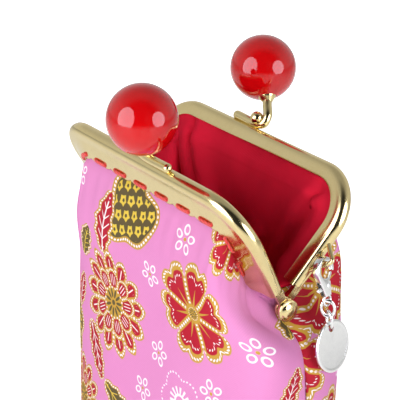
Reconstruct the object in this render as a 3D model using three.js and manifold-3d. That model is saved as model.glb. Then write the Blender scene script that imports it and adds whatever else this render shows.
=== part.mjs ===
// An open kiss-lock purse: two hinged metal frame halves, printed cloth panels, a cloth lining,
// two ball clasps, and a disc charm on a trigger clasp. Millimetres, +Z up, front towards -Y.
// The origin lies under the middle of the flat base.

import * as THREE from 'three';
import { mergeVertices } from 'three/addons/utils/BufferGeometryUtils.js';
import Module from 'manifold-3d';

const wasm = await Module();
wasm.setup();

const { PI, abs, acos, atan2, cos, exp, hypot, max, sign, sin, sqrt } = Math;
const { degToRad, lerp, smoothstep } = THREE.MathUtils;

// Frame arch, measured in the plane of one half
const HINGE_HEIGHT = 90;
const FRAME_WIDTH = 91.6;
const FRAME_HEIGHT = 42.6;
const CORNER_RADIUS = 14.6;
const HINGE_HALF_SPAN = 41.4;
const FRONT_TILT = degToRad(29.4);
const BACK_TILT = degToRad(32.5);

// Frame channel: depth runs inwards from the ridge, outward is away from the bag
const WEB = 0.9;
const SHEET = 0.65;
const OUTER_GAP = 1.8;
const INNER_GAP = 1.4;
const RAIL_BULGE = 0.45;
const CREASE_DEPTH = 4.8;
const INNER_FLANGE_DEPTH = 5;
const LOBE_DEPTH = 10.8;
const NOTCH_DEPTH = 9.9;
const CHANNEL_END = 7;

// Sewing holes, one in the middle of each scallop
const ROW_DEPTH = 9.2;
const HOLE_PITCH = 5.35;
const HOLE_RADIUS = 0.6;
const HOLE_SIDES = 6;
const HOLES_EACH_WAY = 11;
const LAST_HOLE = 57;
const STITCH_PHASE = 2.4;

// Hinge ears and rivets
const EAR = 0.8;
const EAR_RADIUS = 2.6;
const EAR_HALF_NECK = 1.3;
const EAR_REACH = 5;
const TAIL_START = 3.4;
const TAIL = 1.4;
const EAR_PITCH = 1.3;
const RIVET_RADIUS = 1.2;
const RIVET_CAP_RADIUS = 3.3;
const RIVET_TAIL_RADIUS = 2;
const RIVET_TAIL = 0.5;
const RIVET_SIDES = 10;
const CLEARANCE = 0.3;

// Ball clasps
const BALL_RADIUS = 10;
const BALL_CENTRE = new THREE.Vector3(10.9, 1.8, 60);
const STEM_RADIUS = 1.4;
const STEM_SIDES = 7;
const CUP_RADIUS = 2.7;
const CUP_HEIGHT = 2.4;
const BEAD_RADIUS = 2;
const BEAD_CENTRE = new THREE.Vector3(3.4, 1.7, 45.3);
const STEM_ROUTE = [
  { along: 13.4, up: 43.8 },
  { along: 3.6, up: 43.8 },
  { along: 1.2, up: 44.8 },
  { along: 1.2, up: 47.2 },
  { along: 3.4, up: 50.1 },
  { along: 5.2, up: 52.5 },
];

// Charm loop on the right arm of the back half
const LOOP_WIRE = 0.65;
const LOOP_TOP = 21.7;
const LOOP_BOTTOM = 12.9;
const LOOP_CORNER = { out: 49, up: 18 };

// Cloth: the middle surface lies between the panels and the lining
const PANEL_CLOTH = 1.2;
const LINING_CLOTH = 1;
const CLOTH_PLY_GAP = 0.3;
const CLOTH_MIDDLE = 0.1;
const RIM_DEPTH = 1.7;
const HINGE_RIM_DEPTH = 6.2;
const EXIT_DEPTH = 12.2;
const KNEE_DROP = 0.6;
const KNEE_OUT = 3.6;
const SEAM_DROP = 5;
const SEAM_START = 2;
const SEAM_REACH = 6;
const FRONT_BULGE = 3.4;
const BACK_BULGE = 4.6;
const CORNER_SWELL = 2.6;
const CORNER_SPREAD = 7;
const COLUMNS = 22;
const BASE_TUCK = 5.5;
const BASE_SEAM_BOW = 2;

// Level sections of the bag below the hinge, from the widest part down to the base
const SECTIONS = [
  { height: 80, halfWidth: 49.4, halfDepth: 20.6, power: 3, shift: 1.2, pinch: 4 },
  { height: 67, halfWidth: 49.9, halfDepth: 20.8, power: 3, shift: 0.8, pinch: 0.4 },
  { height: 42, halfWidth: 49.6, halfDepth: 21.4, power: 3, shift: 0.4, pinch: 0 },
  { height: 18, halfWidth: 48.8, halfDepth: 22, power: 3.2, shift: 0.2, pinch: 0 },
  { height: 5.5, halfWidth: 47.4, halfDepth: 21.6, power: 3.4, shift: 0.1, pinch: 0 },
];
const PINCH_WIDTH = 6;

// How far down each column of cloth its rows lie, from the frame to the base
const ROWS = [0.09, 0.2, 0.35, 0.53, 0.74, 0.935, 1];
const ROWS_ABOVE = 3;

// Soft folds: place round the bag (0 right seam, 0.25 front, 0.5 left seam, 0.75 back), dent or swell
const FOLDS = [
  { place: 0.06, width: 0.02, from: 0.0, to: 0.5, swell: 0.7 },
  { place: 0.955, width: 0.022, from: 0.05, to: 0.75, swell: -1.3 },
  { place: 0.905, width: 0.025, from: 0.0, to: 0.7, swell: 0.8 },
  { place: 0.82, width: 0.02, from: 0.0, to: 0.6, swell: -0.9 },
  { place: 0.68, width: 0.018, from: 0.0, to: 0.8, swell: -1.2 },
  { place: 0.32, width: 0.03, from: 0.1, to: 0.8, swell: 0.6 },
  { place: 0.45, width: 0.025, from: 0.0, to: 0.7, swell: -0.8 },
];

// Charm: hung from the loop and leaning out over the side of the bag
const CHARM_TURN = degToRad(15);
const CHARM_LEAN = degToRad(10.8);
const CHARM_OUT = 46.3;
const CHARM_UP = 15.63;
const CHARM_LIFT = 0.45;
const CLASP_THICKNESS = 2.2;
const HOOK_CENTRE_DROP = 1.45;
const HOOK_INNER = 2.4;
const HOOK_OUTER = 3.7;
const CLASP_NECK = 1.2;
const CLASP_END = -9.2;
const EYE_DROP = -10.4;
const EYE_RADIUS = 1.95;
const EYE_HOLE = 1.2;
const EYE_THICKNESS = 0.9;
const PIVOT = new THREE.Vector2(0.4, -6.3);
const PIVOT_RADIUS = 0.45;
const LEVER_THICKNESS = 0.7;
const LEVER_HUB = 1.25;
const LEVER_ARM = 0.55;
const GATE_LENGTH = 4.3;
const GATE_ANGLE = degToRad(52);
const TAB_LENGTH = 4.3;
const TAB_ANGLE = degToRad(186);
const LINK_WIRE = 0.45;
const LINK_HALF_WIDTH = 1.85;
const LINK_HALF_HEIGHT = 2.35;
const LINK_TURN = degToRad(30);
const LINK_SEAT = 0.25;
const DISC_RADIUS = 7.6;
const DISC_THICKNESS = 1;
const DISC_HOLE = 1.2;
const DISC_SIDES = 20;

const HALVES = {
  front: { side: -1, tilt: FRONT_TILT, hingeHalf: HINGE_HALF_SPAN, bulge: FRONT_BULGE },
  back: { side: 1, tilt: BACK_TILT, hingeHalf: HINGE_HALF_SPAN - EAR_PITCH, bulge: BACK_BULGE },
};

// Solids

function closedMesh(geometry) {
  const bare = geometry.index ? geometry.toNonIndexed() : geometry.clone();
  bare.deleteAttribute('normal');
  bare.deleteAttribute('uv');
  const merged = mergeVertices(bare, 1e-4);
  const corners = merged.index.array;
  const kept = [];
  for (let i = 0; i < corners.length; i += 3) {
    const [a, b, c] = corners.subarray(i, i + 3);
    if (a !== b && b !== c && c !== a) kept.push(a, b, c);
  }
  merged.setIndex(kept);
  return merged;
}

function solid(geometry) {
  const mesh = closedMesh(geometry);
  return new wasm.Manifold(new wasm.Mesh({
    numProp: 3,
    vertProperties: new Float32Array(mesh.attributes.position.array),
    triVerts: new Uint32Array(mesh.index.array),
  }));
}

function geometryOf(body) {
  const mesh = body.getMesh();
  const geometry = new THREE.BufferGeometry();
  geometry.setAttribute('position', new THREE.BufferAttribute(new Float32Array(mesh.vertProperties), 3));
  geometry.setIndex(new THREE.BufferAttribute(new Uint32Array(mesh.triVerts), 1));
  return geometry;
}

function joined(first, ...rest) {
  return rest.reduce((body, next) => body.add(next), first);
}

function tube(points, radius, sides, steps) {
  const section = new THREE.Shape();
  for (let i = 0; i < sides; i += 1) {
    const angle = (2 * PI * i) / sides;
    const corner = [radius * cos(angle), radius * sin(angle)];
    if (i === 0) section.moveTo(...corner);
    else section.lineTo(...corner);
  }
  section.closePath();
  const extrudePath = new THREE.CatmullRomCurve3(points, false, 'centripetal');
  return solid(new THREE.ExtrudeGeometry(section, { extrudePath, steps, bevelEnabled: false }));
}

// A flat shape drawn in the Y-Z plane and given a thickness along X
const SHAPE_TO_YZ = new THREE.Matrix4().set(0, 0, 1, 0, 1, 0, 0, 0, 0, 1, 0, 0, 0, 0, 0, 1);

function plate(shape, low, high, curveSegments) {
  const depth = high - low;
  const geometry = new THREE.ExtrudeGeometry(shape, { depth, bevelEnabled: false, curveSegments });
  return solid(geometry.applyMatrix4(SHAPE_TO_YZ).translate(low, 0, 0));
}

function turned(profile, sides) {
  return new THREE.LatheGeometry(profile.map(([r, y]) => new THREE.Vector2(r, y)), sides);
}

// The arch of one half. Places along it are counted on the sewing row from the middle of the top bar.

function makeArch(hingeHalf) {
  const barHalf = FRAME_WIDTH / 2 - CORNER_RADIUS;
  const centreUp = FRAME_HEIGHT - CORNER_RADIUS;
  const toHinge = new THREE.Vector2(hingeHalf - barHalf, -centreUp);
  const armAngle = atan2(toHinge.y, toHinge.x) + acos(CORNER_RADIUS / toHinge.length());
  const rowRadius = CORNER_RADIUS - ROW_DEPTH;
  const cornerRun = rowRadius * (PI / 2 - armAngle);
  const armRun = sqrt(toHinge.lengthSq() - CORNER_RADIUS ** 2);

  function at(place, depth) {
    const run = abs(place);
    const angle = run < barHalf ? PI / 2 : max(PI / 2 - (run - barHalf) / rowRadius, armAngle);
    const down = max(run - barHalf - cornerRun, 0);
    const along = run < barHalf ? run : barHalf + CORNER_RADIUS * cos(angle) + down * sin(angle);
    const up = centreUp + CORNER_RADIUS * sin(angle) - down * cos(angle);
    const mirror = place < 0 ? -1 : 1;
    return new THREE.Vector2(mirror * (along - depth * cos(angle)), up - depth * sin(angle));
  }

  return { end: barHalf + cornerRun + armRun, at };
}

function holePlaces() {
  const places = [];
  for (let i = -HOLES_EACH_WAY; i < HOLES_EACH_WAY; i += 1) {
    const place = STITCH_PHASE + (i + 0.5) * HOLE_PITCH;
    if (abs(place) < LAST_HOLE) places.push(place);
  }
  return places;
}

// Frame half in its own plane: X along the hinge, Z up the arch, -Y outward

function channelSection(edgeDepth) {
  const out = OUTER_GAP + SHEET;
  const inside = -INNER_GAP - SHEET;
  return [
    [inside, INNER_FLANGE_DEPTH],
    [inside, 2.1],
    [inside + 0.8, 0.5],
    [0.3, 0],
    [out - 0.8, 0.5],
    [out + RAIL_BULGE, 2.4],
    [out, CREASE_DEPTH],
    [out, edgeDepth],
    [OUTER_GAP, edgeDepth],
    [OUTER_GAP, WEB],
    [-INNER_GAP, WEB],
    [-INNER_GAP, INNER_FLANGE_DEPTH],
  ];
}

function channelStations(arch) {
  const last = arch.end - CHANNEL_END;
  const stations = [{ place: -last, edge: NOTCH_DEPTH }];
  for (const hole of holePlaces()) {
    for (const [shift, edge] of [[-0.26, LOBE_DEPTH], [0.26, LOBE_DEPTH], [0.5, NOTCH_DEPTH]]) {
      const place = hole + shift * HOLE_PITCH;
      if (abs(place) < last - 0.5) stations.push({ place, edge });
    }
  }
  stations.push({ place: last, edge: NOTCH_DEPTH });
  return stations;
}

// A closed skin over a row of rings, capped at both ends by the flat outline
function loft(rings, outline) {
  const count = rings[0].length;
  const lastRing = (rings.length - 1) * count;
  const index = [];
  for (let r = 0; r + 1 < rings.length; r += 1) {
    for (let i = 0; i < count; i += 1) {
      const j = (i + 1) % count;
      const [a, b, c, d] = [r * count + i, r * count + j, (r + 1) * count + j, (r + 1) * count + i];
      index.push(a, b, c, a, c, d);
    }
  }
  const clockwise = THREE.ShapeUtils.isClockWise(outline);
  for (const [a, b, c] of THREE.ShapeUtils.triangulateShape(outline, [])) {
    const [i, j, k] = clockwise ? [a, c, b] : [a, b, c];
    index.push(i, k, j, lastRing + i, lastRing + j, lastRing + k);
  }
  return outwardSolid(rings.flat().flatMap((point) => point.toArray()), index);
}

// Faces given inside out are turned over
function outwardSolid(positions, index) {
  const geometry = new THREE.BufferGeometry();
  geometry.setAttribute('position', new THREE.Float32BufferAttribute(positions, 3));
  geometry.setIndex(index);
  const body = solid(geometry);
  if (body.volume() > 0) return body;
  geometry.setIndex(index.slice().reverse());
  return solid(geometry);
}

function channel(arch) {
  const rings = channelStations(arch).map(({ place, edge }) => channelSection(edge).map(([out, depth]) => {
    const spot = arch.at(place, depth);
    return new THREE.Vector3(spot.x, -out, spot.y);
  }));
  return loft(rings, channelSection(NOTCH_DEPTH).map(([out, depth]) => new THREE.Vector2(out, depth)));
}

function sewingHoles(arch) {
  const drills = holePlaces().map((place) => {
    const spot = arch.at(place, ROW_DEPTH);
    const drill = new THREE.CylinderGeometry(HOLE_RADIUS, HOLE_RADIUS, 2, HOLE_SIDES);
    return solid(drill.translate(spot.x, -OUTER_GAP - SHEET / 2, spot.y));
  });
  return joined(...drills);
}

function ear(hingeHalf, mirror) {
  const tab = new THREE.Shape();
  const neckAngle = acos(EAR_HALF_NECK / EAR_RADIUS);
  tab.moveTo(EAR_HALF_NECK, EAR_REACH);
  tab.lineTo(-EAR_HALF_NECK, EAR_REACH);
  tab.absarc(0, 0, EAR_RADIUS, PI - neckAngle, 2 * PI + neckAngle, false);
  const pinHole = new THREE.Path();
  pinHole.absarc(0, 0, RIVET_RADIUS + CLEARANCE, 0, 2 * PI, true);
  tab.holes.push(pinHole);
  const low = mirror > 0 ? hingeHalf - EAR : -hingeHalf;
  return plate(tab, low, low + EAR, 5);
}

// The web of the channel runs on below the flanges to meet the ear
function webTail(arch, mirror) {
  const rings = [arch.end - CHANNEL_END - 0.5, arch.end - TAIL_START].map((place) => {
    const outer = arch.at(mirror * place, 0);
    const inner = arch.at(mirror * place, TAIL);
    return [[outer, -1], [outer, 1], [inner, 1], [inner, -1]].map(
      ([spot, out]) => new THREE.Vector3(spot.x, out * EAR_HALF_NECK, spot.y),
    );
  });
  return loft(rings, [[0, 0], [1, 0], [1, 1], [0, 1]].map((corner) => new THREE.Vector2(...corner)));
}

function claspStem() {
  const route = STEM_ROUTE.map(({ along, up }) => new THREE.Vector3(along, 0.2, up));
  const top = route[route.length - 1];
  const axis = BALL_CENTRE.clone().sub(top).normalize();
  const rod = tube(route, STEM_RADIUS, STEM_SIDES, 12);
  const tip = solid(new THREE.SphereGeometry(STEM_RADIUS, STEM_SIDES, 5).translate(...route[0].toArray()));
  const bead = solid(new THREE.SphereGeometry(BEAD_RADIUS, 10, 6).translate(...BEAD_CENTRE.toArray()));
  const flareSide = [[STEM_RADIUS, 0], [CUP_RADIUS, CUP_HEIGHT - 0.4], [CUP_RADIUS, CUP_HEIGHT]];
  const flare = turned([[0, 0], ...flareSide, [0, CUP_HEIGHT]], 10);
  const upright = new THREE.Quaternion().setFromUnitVectors(new THREE.Vector3(0, 1, 0), axis);
  const foot = BALL_CENTRE.clone().addScaledVector(axis, -BALL_RADIUS - 1.4);
  const cup = solid(flare.applyQuaternion(upright).translate(...foot.toArray()));
  const seat = new THREE.SphereGeometry(BALL_RADIUS + CLEARANCE, 20, 14);
  return joined(rod, tip, bead, cup).subtract(solid(seat.translate(...BALL_CENTRE.toArray())));
}

function charmLoop(arch) {
  const arm = (up) => {
    let place = arch.end;
    while (arch.at(place, 0.3).y < up) place -= 0.05;
    return arch.at(place, 0.3);
  };
  const corner = new THREE.Vector2(LOOP_CORNER.out, LOOP_CORNER.up);
  const ends = [arm(LOOP_TOP), corner, arm(LOOP_BOTTOM)];
  const at = (spot) => new THREE.Vector3(-spot.x, 0, spot.y);
  const sides = [0, 1].map((i) => tube([at(ends[i]), at(ends[i + 1])], LOOP_WIRE, 6, 1));
  const elbow = solid(new THREE.SphereGeometry(LOOP_WIRE * 1.12, 8, 6).translate(...at(corner).toArray()));
  return joined(...sides, elbow);
}

function frameHalf(half, extras) {
  const arch = makeArch(half.hingeHalf);
  const ends = [-1, 1].flatMap((mirror) => [webTail(arch, mirror), ear(half.hingeHalf, mirror)]);
  return joined(channel(arch).subtract(sewingHoles(arch)), ...ends, claspStem(), ...extras(arch));
}

// Hinge rivet along X, cap outward

function rivet() {
  const stack = EAR + EAR_PITCH;
  const profile = [
    [0, -stack - CLEARANCE - RIVET_TAIL],
    [RIVET_TAIL_RADIUS, -stack - CLEARANCE - RIVET_TAIL],
    [RIVET_TAIL_RADIUS, -stack - CLEARANCE],
    [RIVET_RADIUS, -stack - CLEARANCE],
    [RIVET_RADIUS, CLEARANCE],
    [RIVET_CAP_RADIUS, CLEARANCE],
    [RIVET_CAP_RADIUS, CLEARANCE + 0.7],
    [RIVET_CAP_RADIUS - 0.6, CLEARANCE + 0.8],
    [RIVET_CAP_RADIUS - 1.4, CLEARANCE + 1.35],
    [0, CLEARANCE + 1.6],
  ];
  return closedMesh(turned(profile, RIVET_SIDES).rotateZ(-PI / 2));
}

// Cloth of the bag

function place3(half, along, up, out) {
  return new THREE.Vector3(
    along,
    half.side * (up * sin(half.tilt) + out * cos(half.tilt)),
    HINGE_HEIGHT + up * cos(half.tilt) - out * sin(half.tilt),
  );
}

function outwardOf(half) {
  return new THREE.Vector3(0, half.side * cos(half.tilt), -sin(half.tilt));
}

function sectionCurve(section, side) {
  const steps = 48;
  const points = [];
  for (let i = 0; i <= steps; i += 1) {
    const angle = (PI * i) / steps;
    const reach = 2 / section.power;
    const across = sign(cos(angle)) * abs(cos(angle)) ** reach;
    const y = side * section.halfDepth * abs(sin(angle)) ** reach;
    const wide = section.halfWidth - section.pinch * exp(-((y / PINCH_WIDTH) ** 2));
    points.push(new THREE.Vector3(across * wide, y + section.shift, section.height));
  }
  return new THREE.CatmullRomCurve3(points);
}

// One column of cloth from the rim in the channel to the edge of the base
function clothColumn(half, curves, fraction) {
  const arch = makeArch(half.hingeHalf);
  const reach = arch.end - SEAM_START;
  const spot = reach * (1 - 2 * fraction);
  const held = smoothstep(reach - abs(spot), 0, SEAM_REACH);
  const inChannel = (depth, out) => {
    const { x, y } = arch.at(spot, depth);
    return place3(half, x, y, out);
  };
  const rim = inChannel(lerp(HINGE_RIM_DEPTH, RIM_DEPTH, held), CLOTH_MIDDLE);
  const sunk = (drop) => rim.clone().add(new THREE.Vector3(0, 0, -drop));
  const leave = sunk(SEAM_DROP).lerp(inChannel(EXIT_DEPTH, CLOTH_MIDDLE), held);
  const knee = sunk(SEAM_DROP + KNEE_DROP).lerp(inChannel(EXIT_DEPTH + KNEE_DROP, KNEE_OUT), held);
  const corner = FRAME_WIDTH / 2 - CORNER_RADIUS;
  const atCorner = held * smoothstep(abs(spot), corner - CORNER_SPREAD, corner + CORNER_SPREAD);
  const aside = sign(spot) * CORNER_SWELL * atCorner;
  knee.x += 0.4 * aside;
  const body = curves.map((curve) => curve.getPointAt(fraction));
  const swell = knee.clone().lerp(body[0], lerp(0.3, 0.38, held));
  swell.addScaledVector(outwardOf(half), half.bulge * held);
  swell.x += aside;
  const edge = body[body.length - 1].clone();
  edge.sub(new THREE.Vector3(0, SECTIONS[SECTIONS.length - 1].shift, 0));
  const tuck = 1 - BASE_TUCK / hypot(edge.x, edge.y);
  edge.multiply(new THREE.Vector3(tuck, tuck, 0)).setZ(PANEL_CLOTH + CLOTH_PLY_GAP / 2);
  const fall = new THREE.CatmullRomCurve3([knee, swell, ...body, edge], false, 'centripetal');
  return { held, points: [rim, leave, knee, ...ROWS.map((row) => fall.getPointAt(row))] };
}

function clothColumns() {
  const columns = [];
  for (const half of [HALVES.front, HALVES.back]) {
    const curves = SECTIONS.map((section) => sectionCurve(section, half.side));
    for (let i = 0; i < COLUMNS; i += 1) {
      const fraction = half.side < 0 ? i / COLUMNS : 1 - i / COLUMNS;
      columns.push({ half, ...clothColumn(half, curves, fraction) });
    }
  }
  for (const seam of [0, COLUMNS]) meetAtSeam(columns, seam);
  return columns;
}

// At a side seam the front and back columns share the middle of their two places
function meetAtSeam(columns, seam) {
  const own = columns[seam];
  const twinHalf = own.half === HALVES.front ? HALVES.back : HALVES.front;
  const curves = SECTIONS.map((section) => sectionCurve(section, twinHalf.side));
  const twin = clothColumn(twinHalf, curves, seam === 0 ? 0 : 1);
  own.points.forEach((point, row) => point.lerp(twin.points[row], 0.5));
}

function clothNormals(columns) {
  const total = columns.length;
  return columns.map((column, c) => column.points.map((point, row) => {
    const rows = column.points.length;
    if (row === rows - 1) return new THREE.Vector3(0, 0, -1);
    const down = column.points[row + 1].clone().sub(column.points[max(row - 1, 0)]);
    const before = columns[(c + total - 1) % total].points[row];
    const round = columns[(c + 1) % total].points[row].clone().sub(before);
    const outward = round.cross(down).normalize();
    const held = row < 2 ? column.held : 0;
    return outward.lerp(outwardOf(column.half), held).normalize();
  }));
}

function addFolds(columns) {
  const normals = clothNormals(columns);
  columns.forEach((column, c) => column.points.forEach((point, row) => {
    if (row < ROWS_ABOVE || row === column.points.length - 1) return;
    for (const fold of FOLDS) {
      const turn = c / columns.length - fold.place;
      const away = (turn - Math.round(turn)) / fold.width;
      const fall = (ROWS[row - ROWS_ABOVE] - fold.from) / (fold.to - fold.from);
      const fade = fall > 0 && fall < 1 ? sin(PI * fall) : 0;
      point.addScaledVector(normals[c][row], fold.swell * fade * exp(-away * away));
    }
  }));
}

// A wall between two offsets of the middle surface, over some or all of the columns
function clothWall(columns, normals, order, far, near, closed, base) {
  const rows = columns[0].points.length;
  const positions = [];
  for (const offset of [far, near]) {
    for (const { column, nudge } of order) {
      columns[column].points.forEach((point, row) => {
        const spot = point.clone().addScaledVector(normals[column][row], offset);
        positions.push(spot.x, spot.y + nudge, spot.z);
      });
    }
    positions.push(base.x, base.y, base.z - offset);
  }
  const wide = order.length;
  const layer = wide * rows + 1;
  const spans = closed ? wide : wide - 1;
  const index = [];
  const quad = (a, b, c, d) => index.push(a, b, c, a, c, d);
  for (let i = 0; i < spans; i += 1) {
    const [here, next] = [i * rows, ((i + 1) % wide) * rows];
    for (let r = 0; r + 1 < rows; r += 1) {
      quad(here + r, here + r + 1, next + r + 1, next + r);
      quad(layer + here + r, layer + next + r, layer + next + r + 1, layer + here + r + 1);
    }
    index.push(here + rows - 1, layer - 1, next + rows - 1);
    index.push(layer + here + rows - 1, layer + next + rows - 1, 2 * layer - 1);
    quad(here, next, layer + next, layer + here);
  }
  if (!closed) closeSides(quad, wide, rows, layer);
  return geometryOf(outwardSolid(positions, index));
}

function closeSides(quad, wide, rows, layer) {
  const last = (wide - 1) * rows;
  const start = Array.from({ length: rows }, (_, r) => r).concat(layer - 1);
  const finish = Array.from({ length: rows }, (_, r) => last + r).concat(layer - 1);
  for (let r = 0; r < rows; r += 1) {
    quad(start[r + 1], start[r], layer + start[r], layer + start[r + 1]);
    quad(finish[r], finish[r + 1], layer + finish[r + 1], layer + finish[r]);
  }
}

function clothPieces() {
  const columns = clothColumns();
  addFolds(columns);
  const normals = clothNormals(columns);
  const total = columns.length;
  const middle = new THREE.Vector3(0, 0, PANEL_CLOTH + CLOTH_PLY_GAP / 2);
  const near = CLOTH_PLY_GAP / 2;
  const panel = (first, side) => {
    const order = Array.from({ length: COLUMNS + 1 }, (_, i) => ({
      column: (first + i) % total,
      nudge: i === 0 || i === COLUMNS ? side * near : 0,
    }));
    const base = middle.clone().setY(BASE_SEAM_BOW + side * near);
    return clothWall(columns, normals, order, near + PANEL_CLOTH, near, false, base);
  };
  const all = columns.map((_, column) => ({ column, nudge: 0 }));
  return {
    front_panel: panel(0, HALVES.front.side),
    back_panel: panel(COLUMNS, HALVES.back.side),
    lining: clothWall(columns, normals, all, -near, -near - LINING_CLOTH, true, middle),
  };
}

// Trigger clasp in its own plane: Y across, Z up, the loop's bar at the origin

function ray(angle, length) {
  return [PIVOT.x + length * cos(angle), PIVOT.y + length * sin(angle)];
}

function sector(from, to, inner, outer) {
  const shape = new THREE.Shape();
  shape.moveTo(...ray(from, inner));
  shape.lineTo(...ray(from, outer));
  shape.absarc(PIVOT.x, PIVOT.y, outer, from, to, false);
  shape.lineTo(...ray(to, inner));
  return shape;
}

function ring(centre, outer, hole) {
  const shape = new THREE.Shape();
  shape.absarc(centre.x, centre.y, outer, 0, 2 * PI, false);
  const inside = new THREE.Path();
  inside.absarc(centre.x, centre.y, hole, 0, 2 * PI, true);
  shape.holes.push(inside);
  return shape;
}

function claspBody() {
  const half = CLASP_THICKNESS / 2;
  const slot = LEVER_THICKNESS / 2 + CLEARANCE;
  const hookTip = degToRad(-20);
  const shoulder = degToRad(-65);
  const hook = new THREE.Shape();
  const onRing = (radius, angle) => [radius * cos(angle), -HOOK_CENTRE_DROP + radius * sin(angle)];
  hook.moveTo(...onRing(HOOK_OUTER, hookTip));
  hook.absarc(0, -HOOK_CENTRE_DROP, HOOK_OUTER, hookTip, degToRad(200), false);
  hook.lineTo(-CLASP_NECK, CLASP_END);
  hook.lineTo(CLASP_NECK, CLASP_END);
  hook.lineTo(...onRing(HOOK_OUTER, shoulder));
  hook.lineTo(...onRing(HOOK_INNER, shoulder));
  hook.absarc(0, -HOOK_CENTRE_DROP, HOOK_INNER, shoulder, hookTip - 2 * PI, true);
  const body = plate(hook, -half, half, 9);
  const eyeRing = ring(new THREE.Vector2(0, EYE_DROP), EYE_RADIUS, EYE_HOLE);
  const eye = plate(eyeRing, -EYE_THICKNESS / 2, EYE_THICKNESS / 2, 6);
  const gateWay = plate(sector(degToRad(30), degToRad(86), 1.7, GATE_LENGTH + CLEARANCE), -half, half, 4);
  const gateSlot = plate(sector(degToRad(30), degToRad(108), 0.2, 3.2), -slot, slot, 4);
  const tabWay = plate(sector(degToRad(150), degToRad(240), 0.2, 6), -slot, slot, 4);
  const hubWay = new THREE.CylinderGeometry(LEVER_HUB + CLEARANCE, LEVER_HUB + CLEARANCE, 2 * slot, 12);
  const pin = new THREE.CylinderGeometry(PIVOT_RADIUS, PIVOT_RADIUS, CLASP_THICKNESS - 0.4, 8);
  const atPivot = (geometry) => solid(geometry.rotateZ(PI / 2).translate(0, PIVOT.x, PIVOT.y));
  const leverRoom = joined(gateWay, gateSlot, tabWay, atPivot(hubWay));
  return geometryOf(joined(body, eye).subtract(leverRoom).add(atPivot(pin)));
}

function leverArm(angle, length) {
  const side = new THREE.Vector2(-sin(angle), cos(angle)).multiplyScalar(LEVER_ARM);
  const [endX, endY] = ray(angle, length - LEVER_ARM);
  const shape = new THREE.Shape();
  shape.moveTo(PIVOT.x + side.x, PIVOT.y + side.y);
  shape.lineTo(PIVOT.x - side.x, PIVOT.y - side.y);
  shape.lineTo(endX - side.x, endY - side.y);
  shape.absarc(endX, endY, LEVER_ARM, angle - PI / 2, angle + PI / 2, false);
  return shape;
}

function claspLever() {
  const half = LEVER_THICKNESS / 2;
  const hub = new THREE.Shape();
  hub.absarc(PIVOT.x, PIVOT.y, LEVER_HUB, 0, 2 * PI, false);
  const bore = new THREE.CylinderGeometry(PIVOT_RADIUS + CLEARANCE, PIVOT_RADIUS + CLEARANCE, 2, 10);
  const arms = [leverArm(GATE_ANGLE, GATE_LENGTH), leverArm(TAB_ANGLE, TAB_LENGTH)];
  const lever = joined(plate(hub, -half, half, 6), ...arms.map((arm) => plate(arm, -half, half, 4)));
  return geometryOf(lever.subtract(solid(bore.rotateZ(PI / 2).translate(0, PIVOT.x, PIVOT.y))));
}

function charmLink(drop, turn) {
  const link = new THREE.TorusGeometry(LINK_HALF_WIDTH, LINK_WIRE, 5, 12);
  link.scale(1, LINK_HALF_HEIGHT / LINK_HALF_WIDTH, 1).rotateX(PI / 2).rotateZ(turn);
  return closedMesh(link.translate(0, 0, drop));
}

function charmDisc(holeDrop) {
  const centre = new THREE.Vector2(0, holeDrop - DISC_RADIUS + DISC_HOLE + 0.9);
  const shape = new THREE.Shape();
  for (let i = 0; i < DISC_SIDES; i += 1) {
    const angle = (2 * PI * i) / DISC_SIDES;
    const corner = [centre.x + DISC_RADIUS * cos(angle), centre.y + DISC_RADIUS * sin(angle)];
    if (i === 0) shape.moveTo(...corner);
    else shape.lineTo(...corner);
  }
  const eye = new THREE.Path();
  eye.absarc(0, holeDrop, DISC_HOLE, 0, 2 * PI, true);
  shape.holes.push(eye);
  const half = DISC_THICKNESS / 2;
  return geometryOf(plate(shape, -half, half, 5));
}

function charmPieces() {
  const firstLink = EYE_DROP - LINK_SEAT - LINK_HALF_HEIGHT;
  const secondLink = firstLink - 2 * (LINK_HALF_HEIGHT - LINK_WIRE - CLEARANCE);
  const discHole = secondLink - LINK_HALF_HEIGHT - LINK_SEAT;
  return {
    clasp_body: claspBody(),
    clasp_lever: claspLever(),
    charm_link_upper: charmLink(firstLink, LINK_TURN),
    charm_link_lower: charmLink(secondLink, -LINK_TURN),
    charm_disc: charmDisc(discHole),
  };
}

// Finishes

const FINISHES = {
  gold: { color: 0xe6d8a4, roughness: 0.18, metalness: 1 },
  red_ball: { color: 0xd4081a, roughness: 0.1, metalness: 0 },
  print: { color: 0xf7a2e4, roughness: 0.85, metalness: 0 },
  red_cotton: { color: 0xb4122c, roughness: 0.85, metalness: 0 },
  silver: { color: 0xdfe0de, roughness: 0.22, metalness: 1 },
};

function piece(name, geometry, finish) {
  const mesh = new THREE.Mesh(geometry, new THREE.MeshStandardMaterial(FINISHES[finish]));
  mesh.name = name;
  return mesh;
}

// Assembly

function ball(name) {
  const mesh = piece(name, closedMesh(new THREE.SphereGeometry(BALL_RADIUS, 16, 10)), 'red_ball');
  mesh.position.copy(BALL_CENTRE);
  return mesh;
}

const purse = new THREE.Group();

const frontHalf = new THREE.Group();
frontHalf.position.z = HINGE_HEIGHT;
frontHalf.rotation.set(FRONT_TILT, 0, 0);
frontHalf.add(piece('front_frame', geometryOf(frameHalf(HALVES.front, () => [])), 'gold'));
frontHalf.add(ball('front_ball'));

const backHalf = new THREE.Group();
backHalf.position.z = HINGE_HEIGHT;
backHalf.rotation.set(-BACK_TILT, 0, PI);
backHalf.add(piece('back_frame', geometryOf(frameHalf(HALVES.back, (arch) => [charmLoop(arch)])), 'gold'));
backHalf.add(ball('back_ball'));

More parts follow.
